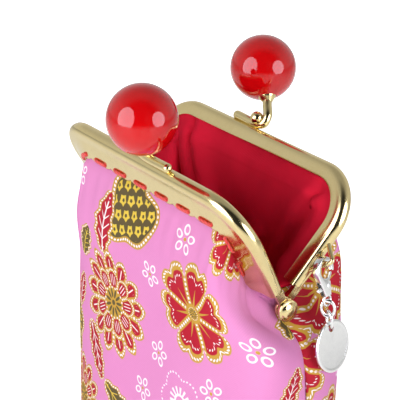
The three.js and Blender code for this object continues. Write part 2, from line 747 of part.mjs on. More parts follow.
const rightRivet = piece('hinge_rivet_right', rivet(), 'gold');
rightRivet.position.set(HINGE_HALF_SPAN, 0, HINGE_HEIGHT);
const leftRivet = piece('hinge_rivet_left', rivet(), 'gold');
leftRivet.position.set(-HINGE_HALF_SPAN, 0, HINGE_HEIGHT);
leftRivet.rotation.z = PI;

const charm = new THREE.Group();
charm.position.copy(place3(HALVES.back, CHARM_OUT, CHARM_UP, 0));
charm.rotation.set(0, -CHARM_LEAN, CHARM_TURN, 'ZYX');
charm.translateZ(CHARM_LIFT);
for (const [name, geometry] of Object.entries(charmPieces())) charm.add(piece(name, geometry, 'silver'));

purse.add(frontHalf, backHalf, rightRivet, leftRivet, charm);
for (const [name, geometry] of Object.entries(clothPieces())) {
  purse.add(piece(name, geometry, name === 'lining' ? 'red_cotton' : 'print'));
}

export default purse;
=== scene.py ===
"""Dresses an open kiss-lock purse: bright metal frame halves, glossy ball clasps, printed cotton panels,
a red lining, running stitches through the frame, and a disc charm on a trigger clasp."""

import math

import bmesh
import bpy
import numpy as np
from mathutils import Matrix, Vector


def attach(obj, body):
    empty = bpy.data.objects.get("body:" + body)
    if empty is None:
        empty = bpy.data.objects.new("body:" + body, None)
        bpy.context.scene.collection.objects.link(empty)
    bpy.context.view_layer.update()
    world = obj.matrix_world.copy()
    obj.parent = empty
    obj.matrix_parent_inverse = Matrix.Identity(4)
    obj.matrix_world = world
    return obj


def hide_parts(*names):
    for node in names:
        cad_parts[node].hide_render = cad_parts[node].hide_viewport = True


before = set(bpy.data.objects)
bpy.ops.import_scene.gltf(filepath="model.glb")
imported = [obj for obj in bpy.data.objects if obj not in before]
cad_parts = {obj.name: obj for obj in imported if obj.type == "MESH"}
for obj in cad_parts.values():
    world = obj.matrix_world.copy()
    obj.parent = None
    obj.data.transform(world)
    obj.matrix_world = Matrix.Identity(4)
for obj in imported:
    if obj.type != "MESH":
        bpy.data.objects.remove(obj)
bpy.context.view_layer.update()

bl_info = {
    "name": "Kiss-lock purse",
    "version": (1, 0, 0),
    "blender": (4, 5, 0),
    "location": "3D View > Sidebar > Purse",
    "description": "Builds the frame, cloth, stitching and charm of an open kiss-lock purse",
    "category": "Add Mesh",
}

MM = 0.001
QUARTER = math.pi / 2
# Edges bent by more than this many degrees stay crisp: metal, cloth, thread
SHARP = 35.0
CLOTH_SHARP = 70.0
THREAD_SHARP = 60.0

# Frame arch, in millimetres, measured in the plane of one half
HINGE_HEIGHT = 90.0
FRAME_WIDTH = 91.6
FRAME_HEIGHT = 42.6
CORNER_RADIUS = 14.6
HINGE_HALF_SPAN = 41.4
EAR_PITCH = 1.3
ROW_DEPTH = 9.2
LOBE_DEPTH = 10.8
NOTCH_DEPTH = 9.9
LOBE_FULLNESS = 0.55
CHANNEL_END = 7.0
CHANNEL_STEP = 0.5
HOLE_PITCH = 5.35
HOLE_RADIUS = 0.6
HOLES_EACH_WAY = 11
LAST_HOLE = 57.0
DRILL_SINK = 0.3
DRILL_LENGTH = 1.4
STITCH_PHASE = 2.4
STITCH_STRAY = 0.1
STITCH_STRAY_TURN = 1.7
STITCH_FLATNESS = 0.5
FLANGE_FACE = 2.6
FLANGE_START = 4.4
FLANGE_LEAN = -0.2

# Rail of the channel from the inner flange over the ridge to the crease: outward, depth
RAIL = (
    (-2.05, 2.1), (-1.8, 1.15), (-1.25, 0.5), (-0.5, 0.13), (0.3, 0.0), (1.05, 0.14), (1.65, 0.5),
    (2.25, 1.3), (2.42, 2.3), (2.49, 3.3), (2.58, 4.2), (2.68, 4.8), (2.76, 5.2),
)
# Rest of the channel: outward, depth, and 1 where the depth is counted from the scalloped edge
FLANGES = (
    (2.6, 5.5, 0), (2.6, 7.5, 0), (2.6, -0.5, 1), (2.6, -0.22, 1), (2.5, -0.05, 1), (2.2, 0.0, 1),
    (1.9, -0.05, 1), (1.8, -0.22, 1), (1.8, 5.2, 0), (1.8, 1.1, 0), (1.6, 0.9, 0), (-1.2, 0.9, 0),
    (-1.4, 1.1, 0), (-1.4, 4.8, 0), (-1.5, 4.97, 0), (-1.72, 5.03, 0), (-1.95, 4.97, 0), (-2.05, 4.8, 0),
)
# A stitch from hole to hole: share of the way, height over the flange
STITCH_RISE = (
    (-0.02, -0.9), (-0.01, -0.1), (0.04, 0.2), (0.2, 0.29), (0.5, 0.31),
    (0.8, 0.29), (0.96, 0.2), (1.01, -0.1), (1.02, -0.9),
)

# Hinge ears and rivets
EAR = 0.8
EAR_RADIUS = 2.6
EAR_HALF_NECK = 1.3
EAR_REACH = 5.0
EAR_BEVEL = 0.12
TAIL_LAP = 0.5
TAIL_START = 3.4
TAIL = 1.4
# Half of the rivet's outline: distance from its axis, place along it, cap outward
RIVET_OUTLINE = (
    (0.0, -2.9), (1.6, -2.9), (1.9, -2.8), (2.0, -2.6), (2.0, -2.4), (1.2, -2.4), (1.2, 0.3), (3.1, 0.3),
    (3.25, 0.36), (3.3, 0.5), (3.3, 0.85), (3.22, 0.98), (3.05, 1.02), (2.72, 1.0), (2.6, 1.06),
    (2.35, 1.3), (1.9, 1.6), (1.3, 1.8), (0.65, 1.89), (0.0, 1.9),
)

# Ball clasps, in the half's own plane: along, inward, up
BALL_RADIUS = 10.0
BALL_CENTRE = (10.9, 1.8, 60.0)
BORE_RADIUS = 1.1
BORE_MOUTH = 1.25
BORE_END = 5.0
BORE_LIP = 0.1
BORE_LIP_TURN = 0.02
STEM_RADIUS = 1.4
STEM_INWARD = 0.2
# The stem's route: along, up
STEM_ROUTE = ((13.4, 43.8), (3.6, 43.8), (1.2, 44.8), (1.2, 47.2), (3.4, 50.1), (5.2, 52.5))
BEAD_RADIUS = 2.0
BEAD_CENTRE = (3.4, 1.7, 45.3)
CUP_DROP = 1.4
CUP_OUTLINE = (
    (0.0, 0.0), (1.4, 0.0), (1.6, 0.35), (2.2, 1.1), (2.62, 1.75), (2.7, 1.95), (2.66, 2.2), (0.0, 2.0),
)

# Wire loop for the charm on the right arm of the back half
LOOP_WIRE = 0.65
LOOP_ENDS = (21.7, 12.9)
LOOP_SINK = 0.3
LOOP_CORNER = (49.0, 18.0)
LOOP_ROUNDING = 0.16
ARM_STEP = 0.05

# Cloth: the middle surface lies between the panels and the lining
PANEL_CLOTH = 1.2
LINING_CLOTH = 1.0
PLY_GAP = 0.3
CLOTH_MIDDLE = 0.1
RIM_DEPTH = 1.7
HINGE_RIM_DEPTH = 6.2
CHANNEL_LEAN_START = 6.0
EXIT_DEPTH = 11.9
KNEE_DROP = 1.3
KNEE_OUT = 2.4
SWELL_PLACE = 0.3
SWELL_HELD = 0.08
SEAM_DROP = 5.0
SEAM_START = 2.0
SEAM_REACH = 6.0
SEAM_MEET = 4.5
SEAM_VALLEY_WIDTH = 1.6
CORNER_PULL = 1.2
CORNER_KNEE = 2.1
CORNER_KNEE_OUT = 0.8
CORNER_SPREAD = 7.0
BASE_TUCK = 5.5
BASE_SEAM_BOW = 2.0
PINCH_WIDTH = 6.0
ROUND = 256.0
PANEL_DROP = 118.0
MAP_UNIT = 100.0

# Small relief of the panels, and where down the fall each kind fades in or out
VALLEY_START = (-0.01, 0.08)
PUCKER_START = (0.0, 0.02)
PUCKER_END = (0.03, 0.16)
RIPPLE = 0.12
RIPPLE_ACROSS = 0.21
RIPPLE_DOWN = 9.0
RIPPLE_START = (0.1, 0.3)

# How the lining hangs away from the panels, and its own ripples
LINING_PULL = 0.6
LINING_KNEE = 3.2
LINING_KNEE_OUT = 0.6
LINING_LEAVE = 2.5
LINING_FREE = (-2.0, 8.0)
LINING_HANG = 0.38
LINING_LOW = 0.68
LINING_LOW_OUT = 0.07
LINING_PRESS = 12
LINING_PRESS_ROUND = 2
LINING_PRESS_ALL = 3
LINING_PRESS_ROWS = 13
LINING_RIPPLE = 0.25
LINING_RIPPLES = 17
LINING_RIPPLE_DOWN = 5.0
LINING_RIPPLE_START = (0.02, 0.2)
LINING_RIPPLE_END = (0.85, 1.0)

# Columns for half of the bag, and rows from the rim down
COLUMNS = 110
LINING_COLUMNS = 220
RIM_ROWS = 3
RIM_SHARE = 0.94
BEND_ROWS = 5
BEND_TURN = 0.35
FALL_ROWS = 84
BASE_ROWS = 8
FALL = np.linspace(0.0, 1.0, FALL_ROWS)
# How far down the fall each row lies, below zero inside the frame
ROW_FALL = np.concatenate([np.linspace(-0.1, -0.01, RIM_ROWS + BEND_ROWS), FALL])

# Level sections of the bag: height, half width, half depth, power, shift, pinch
SECTIONS = (
    (80.0, 49.4, 20.8, 3.6, 1.2, 4.0),
    (67.0, 49.9, 21.0, 3.4, 0.8, 0.4),
    (42.0, 49.6, 21.4, 3.2, 0.4, 0.0),
    (18.0, 48.8, 22.0, 3.2, 0.2, 0.0),
    (5.5, 47.4, 21.6, 3.4, 0.1, 0.0),
)
# Soft folds: place round the bag, width, top, bottom, swell
FOLDS = (
    (0.06, 0.02, 0.0, 0.5, 0.7),
    (0.955, 0.022, 0.05, 0.75, -1.3),
    (0.905, 0.025, 0.0, 0.7, 0.8),
    (0.82, 0.02, 0.0, 0.6, -0.9),
    (0.68, 0.018, 0.0, 0.8, -1.2),
    (0.32, 0.03, 0.1, 0.8, 0.6),
    (0.45, 0.025, 0.0, 0.7, -0.8),
)
# Folds of the lining, in millimetres on its cloth: across and down where the fold starts, across and down
# where it ends, how far it spreads left and right, height towards the inside, below zero for a crease
LINING_FOLDS = (
    (160.0, -11.0, 181.0, 38.0, 9.0, 6.0, 4.2),
    (160.0, -11.0, 181.0, 38.0, 1.1, 1.3, -5.2),
    (228.5, -9.0, 206.0, 34.0, 6.0, 10.0, 3.6),
    (228.5, -9.0, 206.0, 34.0, 2.2, 1.2, -4.2),
    (180.0, 14.0, 212.0, 5.5, 3.0, 1.2, 2.6),
    (186.0, 25.0, 210.0, 14.0, 1.6, 3.5, 2.3),
    (206.0, 24.0, 196.0, 52.0, 3.5, 2.0, 1.6),
    (240.0, 2.0, 226.0, 38.0, 2.5, 1.6, 1.7),
    (249.0, 4.0, 243.0, 34.0, 2.5, 2.5, 1.5),
    (176.0, 30.0, 184.0, 66.0, 4.0, 4.0, 1.4),
    (30.0, 4.0, 37.0, 44.0, 4.0, 3.0, 1.6),
    (69.0, 0.0, 62.0, 40.0, 3.0, 3.5, 1.7),
    (102.0, 6.0, 108.0, 46.0, 4.0, 3.0, 1.5),
    (141.0, 0.0, 134.0, 40.0, 3.0, 3.0, 1.4),
)

# Charm, hung from the loop
CHARM_TURN = math.radians(15.0)
CHARM_LEAN = math.radians(10.8)
CHARM_OUT = 46.3
CHARM_UP = 15.63
CHARM_LIFT = 0.45
CLASP_HALF = 1.1
CLASP_BEVEL = 0.4
HOOK_DROP = 1.45
HOOK_INNER = 2.4
HOOK_OUTER = 3.7
HOOK_TIP = math.radians(-20.0)
HOOK_SHOULDER = math.radians(-65.0)
HOOK_BACK = math.radians(200.0)
CLASP_NECK = 1.2
CLASP_END = -9.2
EYE_DROP = -10.4
EYE_RADIUS = 1.95
EYE_HOLE = 1.2
EYE_HALF = 0.45
PIVOT = (0.4, -6.3)
PIVOT_RADIUS = 0.45
# One end of the pivot pin: distance from its axis, place along it
PIN_END = ((PIVOT_RADIUS, 1.0), (0.75, 1.1), (0.5, 1.25), (0.0, 1.3))
LEVER_HALF = 0.35
LEVER_HUB = 1.25
LEVER_ARM = 0.55
LEVER_BEVEL = 0.14
GATE_LENGTH = 4.3
GATE_ANGLE = math.radians(52.0)
TAB_LENGTH = 4.3
TAB_ANGLE = math.radians(186.0)
CLEARANCE = 0.3
CUT_THROUGH = 2.0
# Room for the lever round its pivot: start and stop in degrees, inner and outer radius
GATE_WAY = (30, 86, 1.7, GATE_LENGTH + CLEARANCE)
GATE_SLOT = (30, 108, 0.2, 3.2)
TAB_SLOT = (150, 240, 0.2, 6.0)
LINK_WIRE = 0.45
LINK_HALF_WIDTH = 1.85
LINK_HALF_HEIGHT = 2.35
LINK_TURN = math.radians(30.0)
LINK_SEAT = 0.25
DISC_RADIUS = 7.6
DISC_HOLE = 1.2
DISC_EDGE = 0.9
# One face of the disc from its middle to its edge: distance, height
DISC_FACE = ((0.0, 0.36), (6.3, 0.36), (6.55, 0.4), (6.8, 0.5), (7.3, 0.5), (7.5, 0.42), (DISC_RADIUS, 0.25))

# One repeat of the print, in millimetres, and where the back panel is cut from it
REPEAT = (96.0, 104.0)
PRINT_SHIFT = (-24.5, 64.0)
# Motifs: across, down, size, turn, and for leaves 1 where they are olive
FLOWERS = ((27.0, 25.5, 15.0, 0.3), (43.5, -2.0, 12.5, 0.9), (28.0, 82.0, 14.0, 0.1))
MANY_PETALLED = ((-15.5, 39.5, 16.5, 0.2), (-38.0, 82.0, 14.5, 0.6))
LEAVES = (
    (-18.5, 14.0, 10.5, 1.45, 0.0),
    (-31.0, 24.0, 7.5, 1.0, 1.0),
    (-26.0, 60.0, 10.0, -1.1, 0.0),
    (-38.0, 44.0, 6.5, 1.3, 0.0),
    (-11.0, 73.0, 10.0, -0.5, 1.0),
    (4.0, 86.0, 9.5, 0.9, 0.0),
    (44.0, 62.0, 9.0, -0.6, 1.0),
    (-10.0, 94.0, 8.0, 0.3, 1.0),
)
PATCHES = ((-6.5, 5.0, 14.5, 0.3), (-46.0, 58.0, 11.0, 1.4))
BLOSSOMS = (
    (20.5, 5.0, 4.7, 0.3),
    (6.5, 21.0, 4.4, 0.9),
    (9.5, 46.0, 4.4, 0.1),
    (34.0, 49.0, 4.7, 0.6),
    (-35.0, 3.0, 4.4, 0.5),
    (1.5, 61.0, 4.4, 1.1),
    (-47.0, 31.0, 4.7, 0.2),
    (-20.0, 88.0, 4.4, 0.7),
    (47.0, 82.0, 4.6, 0.4),
)
SUNS = ((21.0, 57.0, 10.0, 0.2), (46.0, 98.0, 9.0, 1.0))

# Camera and lights, in metres
CAMERA_PLACE = Vector((0.3337, -0.2421, 0.2823))
CAMERA_AHEAD = Vector((-0.7465, 0.5409, -0.3875)).normalized()
CAMERA_ROLL = math.radians(0.61)
LIT_POINT = Vector((0.0, 0.0, 0.1))
SOFTBOX_AWAY = 0.95
GLEAM_AWAY = 0.9
GLEAM_TINT = (0.88, 0.9, 1.0)
OVERHEAD_RISE = 1.4
OVERHEAD_AWAY = 1.4
OVERHEAD_SIZE = (1.3, 1.3)
BEHIND_RISE = 0.3
BEHIND_AWAY = 1.1
BEHIND_SIZE = (0.9, 0.9)
FLOOR_HALF = 4.0
# Where the studio turns dark behind the camera and dimmer overhead, and by how much overhead
DARK_BEHIND = (0.25, 0.75)
DIM_ABOVE = (0.35, 0.9)
ABOVE_SHARE = 0.42
WHITE = (1.0, 1.0, 1.0)
BLACK = (0.0, 0.0, 0.0)
DIM = (0.03, 0.03, 0.03)


class Half:
    """One half of the frame: the shape of its arch, how it leans and how its cloth swells and hangs."""

    def __init__(self, side, tilt, hinge_half, bulge, hang):
        self.side = side
        self.tilt = math.radians(tilt)
        self.hinge_half = hinge_half
        self.bulge = bulge
        self.hang = hang
        self.bar_half = FRAME_WIDTH / 2 - CORNER_RADIUS
        self.centre_up = FRAME_HEIGHT - CORNER_RADIUS
        to_hinge = (hinge_half - self.bar_half, -self.centre_up)
        reach = math.hypot(*to_hinge)
        self.arm_angle = math.atan2(to_hinge[1], to_hinge[0]) + math.acos(CORNER_RADIUS / reach)
        self.row_radius = CORNER_RADIUS - ROW_DEPTH
        self.corner_run = self.row_radius * (QUARTER - self.arm_angle)
        self.end = self.bar_half + self.corner_run + math.sqrt(reach**2 - CORNER_RADIUS**2)

    def at(self, place, depth):
        """Along and up of a point, from its place on the sewing row and its depth below the ridge."""
        run = abs(place)
        angle = QUARTER
        down = max(run - self.bar_half - self.corner_run, 0.0)
        along = run
        if run >= self.bar_half:
            angle = max(QUARTER - (run - self.bar_half) / self.row_radius, self.arm_angle)
            along = self.bar_half + CORNER_RADIUS * math.cos(angle) + down * math.sin(angle)
        up = self.centre_up + CORNER_RADIUS * math.sin(angle) - down * math.cos(angle)
        mirror = -1.0 if place < 0 else 1.0
        return mirror * (along - depth * math.cos(angle)), up - depth * math.sin(angle)

    def spot(self, along, up, out):
        """A point of the half's plane, in the purse's frame."""
        lean, rise = math.sin(self.tilt), math.cos(self.tilt)
        return Vector((along, self.side * (up * lean + out * rise), HINGE_HEIGHT + up * rise - out * lean))

    def on_row(self, place, depth, out):
        return self.spot(*self.at(place, depth), out)

    def outward(self):
        return np.array((0.0, self.side * math.cos(self.tilt), -math.sin(self.tilt)))

    def hardware(self, along, inward, up):
        """A point of the clasp; the back half's clasp is the front's turned round."""
        return self.spot(along if self.side < 0 else -along, up, -inward)


FRONT = Half(-1, 29.4, HINGE_HALF_SPAN, 3.4, 1.15)
BACK = Half(1, 32.5, HINGE_HALF_SPAN - EAR_PITCH, 4.6, 1.03)


def hole_places():
    places = [STITCH_PHASE + (i + 0.5) * HOLE_PITCH for i in range(-HOLES_EACH_WAY, HOLES_EACH_WAY)]
    return [place for place in places if abs(place) < LAST_HOLE]


def hole_turn(place):
    """An angle that goes once round from each sewing hole to the next."""
    return math.tau * (place - STITCH_PHASE - 0.5 * HOLE_PITCH) / HOLE_PITCH


def charm_place():
    start = Matrix.Translation(BACK.spot(CHARM_OUT, CHARM_UP, 0.0))
    turn = Matrix.Rotation(CHARM_TURN, 4, "Z") @ Matrix.Rotation(-CHARM_LEAN, 4, "Y")
    return start @ turn @ Matrix.Translation((0.0, 0.0, CHARM_LIFT))


# Modelling


def smooth(value, low, high):
    part = np.clip((value - low) / (high - low), 0.0, 1.0)
    return part * part * (3.0 - 2.0 * part)


def between(first, second, part):
    return first + (second - first) * part


def unit(vectors):
    return vectors / np.maximum(np.linalg.norm(vectors, axis=-1, keepdims=True), 1e-9)


def through(points, steps):
    """A smooth line through points: columns of points become columns of finer ones."""
    points = np.asarray(points, float)
    first = 2 * points[..., :1, :] - points[..., 1:2, :]
    last = 2 * points[..., -1:, :] - points[..., -2:-1, :]
    p = np.concatenate([first, points, last], axis=-2)
    gap = np.maximum(np.linalg.norm(np.diff(p, axis=-2), axis=-1), 1e-6) ** 0.5
    line = []
    for i in range(1, p.shape[-2] - 2):
        a, b, c, d = (p[..., i + k, :] for k in (-1, 0, 1, 2))
        g0, g1, g2 = (gap[..., i + k, None] for k in (-1, 0, 1))
        leave = g1 * ((b - a) / g0 - (c - a) / (g0 + g1) + (c - b) / g1)
        arrive = g1 * ((c - b) / g1 - (d - b) / (g1 + g2) + (d - c) / g2)
        for t in np.arange(steps) / steps:
            h = t * t * (3 - 2 * t)
            line.append(b + (c - b) * h + leave * t * (1 - t) ** 2 - arrive * t * t * (1 - t))
    line.append(points[..., -1, :])
    return np.stack(line, axis=-2)


def evenly(line, fractions):
    """Points at fractions of a line's length."""
    length = np.concatenate([[0.0], np.cumsum(np.linalg.norm(np.diff(line, axis=0), axis=1))])
    wanted = np.asarray(fractions) * length[-1]
    return np.stack([np.interp(wanted, length, line[:, k]) for k in range(3)], axis=-1)


def flat_grid(bm, across, down):
    """A flat grid, handed back as columns of vertices."""
    bm.loops.layers.uv.verify()
    made = bmesh.ops.create_grid(bm, x_segments=across, y_segments=down, size=1.0, calc_uvs=True)
    columns = [[None] * (down + 1) for _ in range(across + 1)]
    for vert in made["verts"]:
        columns[round((vert.co.x + 1) / 2 * across)][round((vert.co.y + 1) / 2 * down)] = vert
    return columns


def swept(bm, rings):
    """Bends a flat grid round a row of rings and closes its seam and ends."""
    count = len(rings[0])
    columns = flat_grid(bm, count, len(rings) - 1)
    for i, column in enumerate(columns):
        for vert, ring in zip(column, rings):
            vert.co = ring[i % count]
    ends = [set(column[end] for column in columns) for end in (0, -1)]
    bmesh.ops.remove_doubles(bm, verts=columns[0] + columns[-1], dist=1e-5)
    for end in ends:
        rim = [edge for edge in bm.edges if edge.is_boundary and end.issuperset(edge.verts)]
        bmesh.ops.edgeloop_fill(bm, edges=rim)


def rod(bm, path, radius, sides, up, flat=1.0):
    """A round or flattened rod along a path; up is the side that a flattened one turns to."""
    turns = [math.tau * k / sides for k in range(sides)]
    rings = []
    for i, point in enumerate(path):
        ahead = (path[min(i + 1, len(path) - 1)] - path[max(i - 1, 0)]).normalized()
        side = ahead.cross(Vector(up)).normalized()
        lift = flat * side.cross(ahead)
        rings.append([point + radius * (side * math.cos(t) + lift * math.sin(t)) for t in turns])
    swept(bm, rings)


def spun(bm, outline, steps, place):
    """Spins an outline of distance and height round its axis, then puts it in place."""
    others = set(bm.verts)
    verts = [bm.verts.new((distance, 0.0, height)) for distance, height in outline]
    edges = [bm.edges.new(pair) for pair in zip(verts, verts[1:])]
    axis = {"cent": (0.0, 0.0, 0.0), "axis": (0.0, 0.0, 1.0), "angle": math.tau}
    bmesh.ops.spin(bm, geom=verts + edges, steps=steps, use_merge=True, **axis)
    whole = [vert for vert in bm.verts if vert not in others]
    bmesh.ops.remove_doubles(bm, verts=whole, dist=1e-5)
    bmesh.ops.transform(bm, matrix=place, verts=[vert for vert in whole if vert.is_valid])


def ring_outline(radius, wide, high):
    """The section of a ring's wire, closed on itself."""
    return [(radius + wide * math.cos(t), high * math.sin(t)) for t in np.linspace(0.0, math.tau, 17)]


def plate(bm, outline, low, high, place, bevel=0.0, segments=2):
    """Draws an outline in the Y-Z plane, pulls it out along X and rounds its edges."""
    verts = [bm.verts.new((low, y, z)) for y, z in outline]
    face = bm.faces.new(verts)
    made = bmesh.ops.extrude_face_region(bm, geom=[face])
    top = [item for item in made["geom"] if isinstance(item, bmesh.types.BMVert)]
    bmesh.ops.translate(bm, vec=(high - low, 0.0, 0.0), verts=top)
    whole = set(verts) | set(top)
    if bevel:
        rims = [edge for edge in bm.edges if set(edge.verts) <= set(verts) or set(edge.verts) <= set(top)]
        round_over = {"affect": "EDGES", "segments": segments, "profile": 0.5, "material": -1}
        made = bmesh.ops.bevel(bm, geom=rims, offset=bevel, clamp_overlap=True, **round_over)
        whole = {vert for vert in whole if vert.is_valid} | set(made["verts"])
    bmesh.ops.transform(bm, matrix=place, verts=list(whole))


def arc(centre, radius, start, stop, steps):
    turns = np.linspace(start, stop, steps + 1)
    return [(centre[0] + radius * math.cos(t), centre[1] + radius * math.sin(t)) for t in turns]


def circle(centre, radius, steps):
    return arc(centre, radius, 0.0, math.tau, steps)[:-1]


def finished(bm, name, sharp=SHARP, outward=True):
    """Turns millimetres into metres and makes the piece's object."""
    if outward:
        bmesh.ops.recalc_face_normals(bm, faces=bm.faces)
    bmesh.ops.scale(bm, vec=(MM, MM, MM), verts=bm.verts)
    mesh = bpy.data.meshes.new(name)
    bm.to_mesh(mesh)
    bm.free()
    mesh.shade_smooth()
    mesh.set_sharp_from_angle(angle=math.radians(sharp))
    piece = bpy.data.objects.new(name, mesh)
    bpy.context.scene.collection.objects.link(piece)
    return piece


def reopened(piece):
    """A finished piece as a bmesh in millimetres again; its object goes."""
    bm = bmesh.new()
    bm.from_mesh(piece.data)
    bmesh.ops.scale(bm, vec=(1 / MM, 1 / MM, 1 / MM), verts=bm.verts)
    bpy.data.objects.remove(piece)
    return bm


def flat_piece(name, outline, half, **edges):
    """A plate that is equally thick on both sides of the middle plane."""
    bm = bmesh.new()
    plate(bm, outline, -half, half, Matrix.Identity(4), **edges)
    return finished(bm, name)


def cut_away(piece, cutter):
    """Takes the cutter's shape out of the piece for good."""
    cut = piece.modifiers.new("cut", "BOOLEAN")
    cut.operation = "DIFFERENCE"
    cut.solver = "EXACT"
    cut.object = cutter
    bpy.context.view_layer.update()
    shaped = piece.evaluated_get(bpy.context.evaluated_depsgraph_get())
    mesh = bpy.data.meshes.new_from_object(shaped)
    piece.modifiers.clear()
    piece.data = mesh
    mesh.set_sharp_from_angle(angle=math.radians(SHARP))
    bpy.data.objects.remove(cutter)


def hung(bm, name):
    """Puts a piece of the charm in its place below the loop."""
    bmesh.ops.transform(bm, matrix=charm_place(), verts=bm.verts)
    return finished(bm, name)


def settle(piece, body, node, finish):
    """Hangs a finished piece on its body in place of a solid, with its finish."""
    piece.data.materials.clear()
    piece.data.materials.append(finish)
    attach(piece, body)
    if node:
        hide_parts(node)


# Frame halves


def edge_depth(place):
    """Depth of the scalloped edge, deepest at each hole."""
    swing = 0.5 + 0.5 * math.cos(hole_turn(place))
    return NOTCH_DEPTH + (LOBE_DEPTH - NOTCH_DEPTH) * swing**LOBE_FULLNESS


def flange_lean(depth):
    """How far the outer flange has turned in at a depth; below zero where it flares out."""
    return FLANGE_LEAN * max(depth - FLANGE_START, 0.0)


def channel_ring(half, place):
    section = list(through(RAIL, 3))
    edge = edge_depth(place)
    for out, depth, from_edge in FLANGES:
        depth = edge + depth if from_edge else depth
        section.append((out - flange_lean(depth) if out > 0 else out, depth))
    return [half.on_row(place, depth, out) for out, depth in section]


def add_channel(bm, half):
    last = half.end - CHANNEL_END
    steps = int(2 * last / CHANNEL_STEP)
    swept(bm, [channel_ring(half, -last + 2 * last * i / steps) for i in range(steps + 1)])


def add_ends(bm, half):
    """The web's tail and the round ear at each end of the arch."""
    plane = Matrix.Translation((0.0, 0.0, HINGE_HEIGHT)) @ Matrix.Rotation(-half.side * half.tilt, 4, "X")
    neck = math.acos(EAR_HALF_NECK / EAR_RADIUS)
    outline = [(EAR_HALF_NECK, EAR_REACH), (-EAR_HALF_NECK, EAR_REACH)]
    outline += arc((0.0, 0.0), EAR_RADIUS, math.pi - neck, math.tau + neck, 24)
    corners = ((0.0, -1.0), (0.0, 1.0), (TAIL, 1.0), (TAIL, -1.0))
    for mirror in (-1, 1):
        low = half.hinge_half - EAR if mirror > 0 else -half.hinge_half
        plate(bm, outline, low, low + EAR, plane, bevel=EAR_BEVEL)
        rings = []
        for place in np.linspace(half.end - CHANNEL_END - TAIL_LAP, half.end - TAIL_START, 5):
            rings.append([half.on_row(mirror * place, depth, out * EAR_HALF_NECK) for depth, out in corners])
        swept(bm, rings)


def clasp_axis(half):
    """The ball's centre and the direction of its stem, in the purse's frame."""
    centre = half.hardware(*BALL_CENTRE)
    along, up = STEM_ROUTE[-1]
    return centre, (centre - half.hardware(along, STEM_INWARD, up)).normalized()


def upright(centre, axis):
    return Matrix.Translation(centre) @ Vector((0.0, 0.0, 1.0)).rotation_difference(axis).to_matrix().to_4x4()


def add_clasp(bm, half):
    """The soldered stem with its bead, round tip and cup."""
    route = through([(along, STEM_INWARD, up) for along, up in STEM_ROUTE], 8)
    path = [half.hardware(*point) for point in route]
    rod(bm, path, STEM_RADIUS, 18, half.outward())
    for spot, radius in ((path[0], STEM_RADIUS), (half.hardware(*BEAD_CENTRE), BEAD_RADIUS)):
        place = Matrix.Translation(spot)
        bmesh.ops.create_uvsphere(bm, u_segments=24, v_segments=14, radius=radius, matrix=place)
    centre, axis = clasp_axis(half)
    spun(bm, CUP_OUTLINE, 32, upright(centre - axis * (BALL_RADIUS + CUP_DROP), axis))


def add_loop(bm, half):
    """The wire loop that carries the charm."""

    def arm(up):
        place = half.end
        while half.at(place, LOOP_SINK)[1] < up:
            place -= ARM_STEP
        return half.at(place, LOOP_SINK)

    corner = Vector((*LOOP_CORNER, 0.0))
    ends = [Vector((*arm(up), 0.0)) for up in LOOP_ENDS]
    near = [corner.lerp(end, LOOP_ROUNDING) for end in ends]
    bend = [near[0].lerp(corner, t).lerp(corner.lerp(near[1], t), t) for t in np.linspace(0.0, 1.0, 9)]
    path = [half.spot(point.x, point.y, 0.0) for point in [ends[0], *bend, ends[1]]]
    rod(bm, path, LOOP_WIRE, 14, half.outward())


def sewing_drills(half):
    bm = bmesh.new()
    away = Vector(half.outward())
    drill = {"cap_ends": True, "segments": 14, "radius1": HOLE_RADIUS, "radius2": HOLE_RADIUS}
    for place in hole_places():
        centre = half.on_row(place, ROW_DEPTH, FLANGE_FACE - flange_lean(ROW_DEPTH) - DRILL_SINK)
        bmesh.ops.create_cone(bm, depth=DRILL_LENGTH, matrix=upright(centre, away), **drill)
    return finished(bm, "drills")


def frame_half(name, half):
    bm = bmesh.new()
    add_channel(bm, half)
    piece = finished(bm, name)
    cut_away(piece, sewing_drills(half))
    bm = reopened(piece)
    add_ends(bm, half)
    add_clasp(bm, half)
    if half is BACK:
        add_loop(bm, half)
    return finished(bm, name)


# Cloth


def section_line(section, side):
    height, half_width, half_depth, power, shift, pinch = section
    angle = np.linspace(0.0, math.pi, 241)
    across = np.sign(np.cos(angle)) * np.abs(np.cos(angle)) ** (2 / power)
    y = side * half_depth * np.abs(np.sin(angle)) ** (2 / power)
    wide = half_width - pinch * np.exp(-((y / PINCH_WIDTH) ** 2))
    return np.stack([across * wide, y + shift, np.full_like(y, height)], axis=-1)


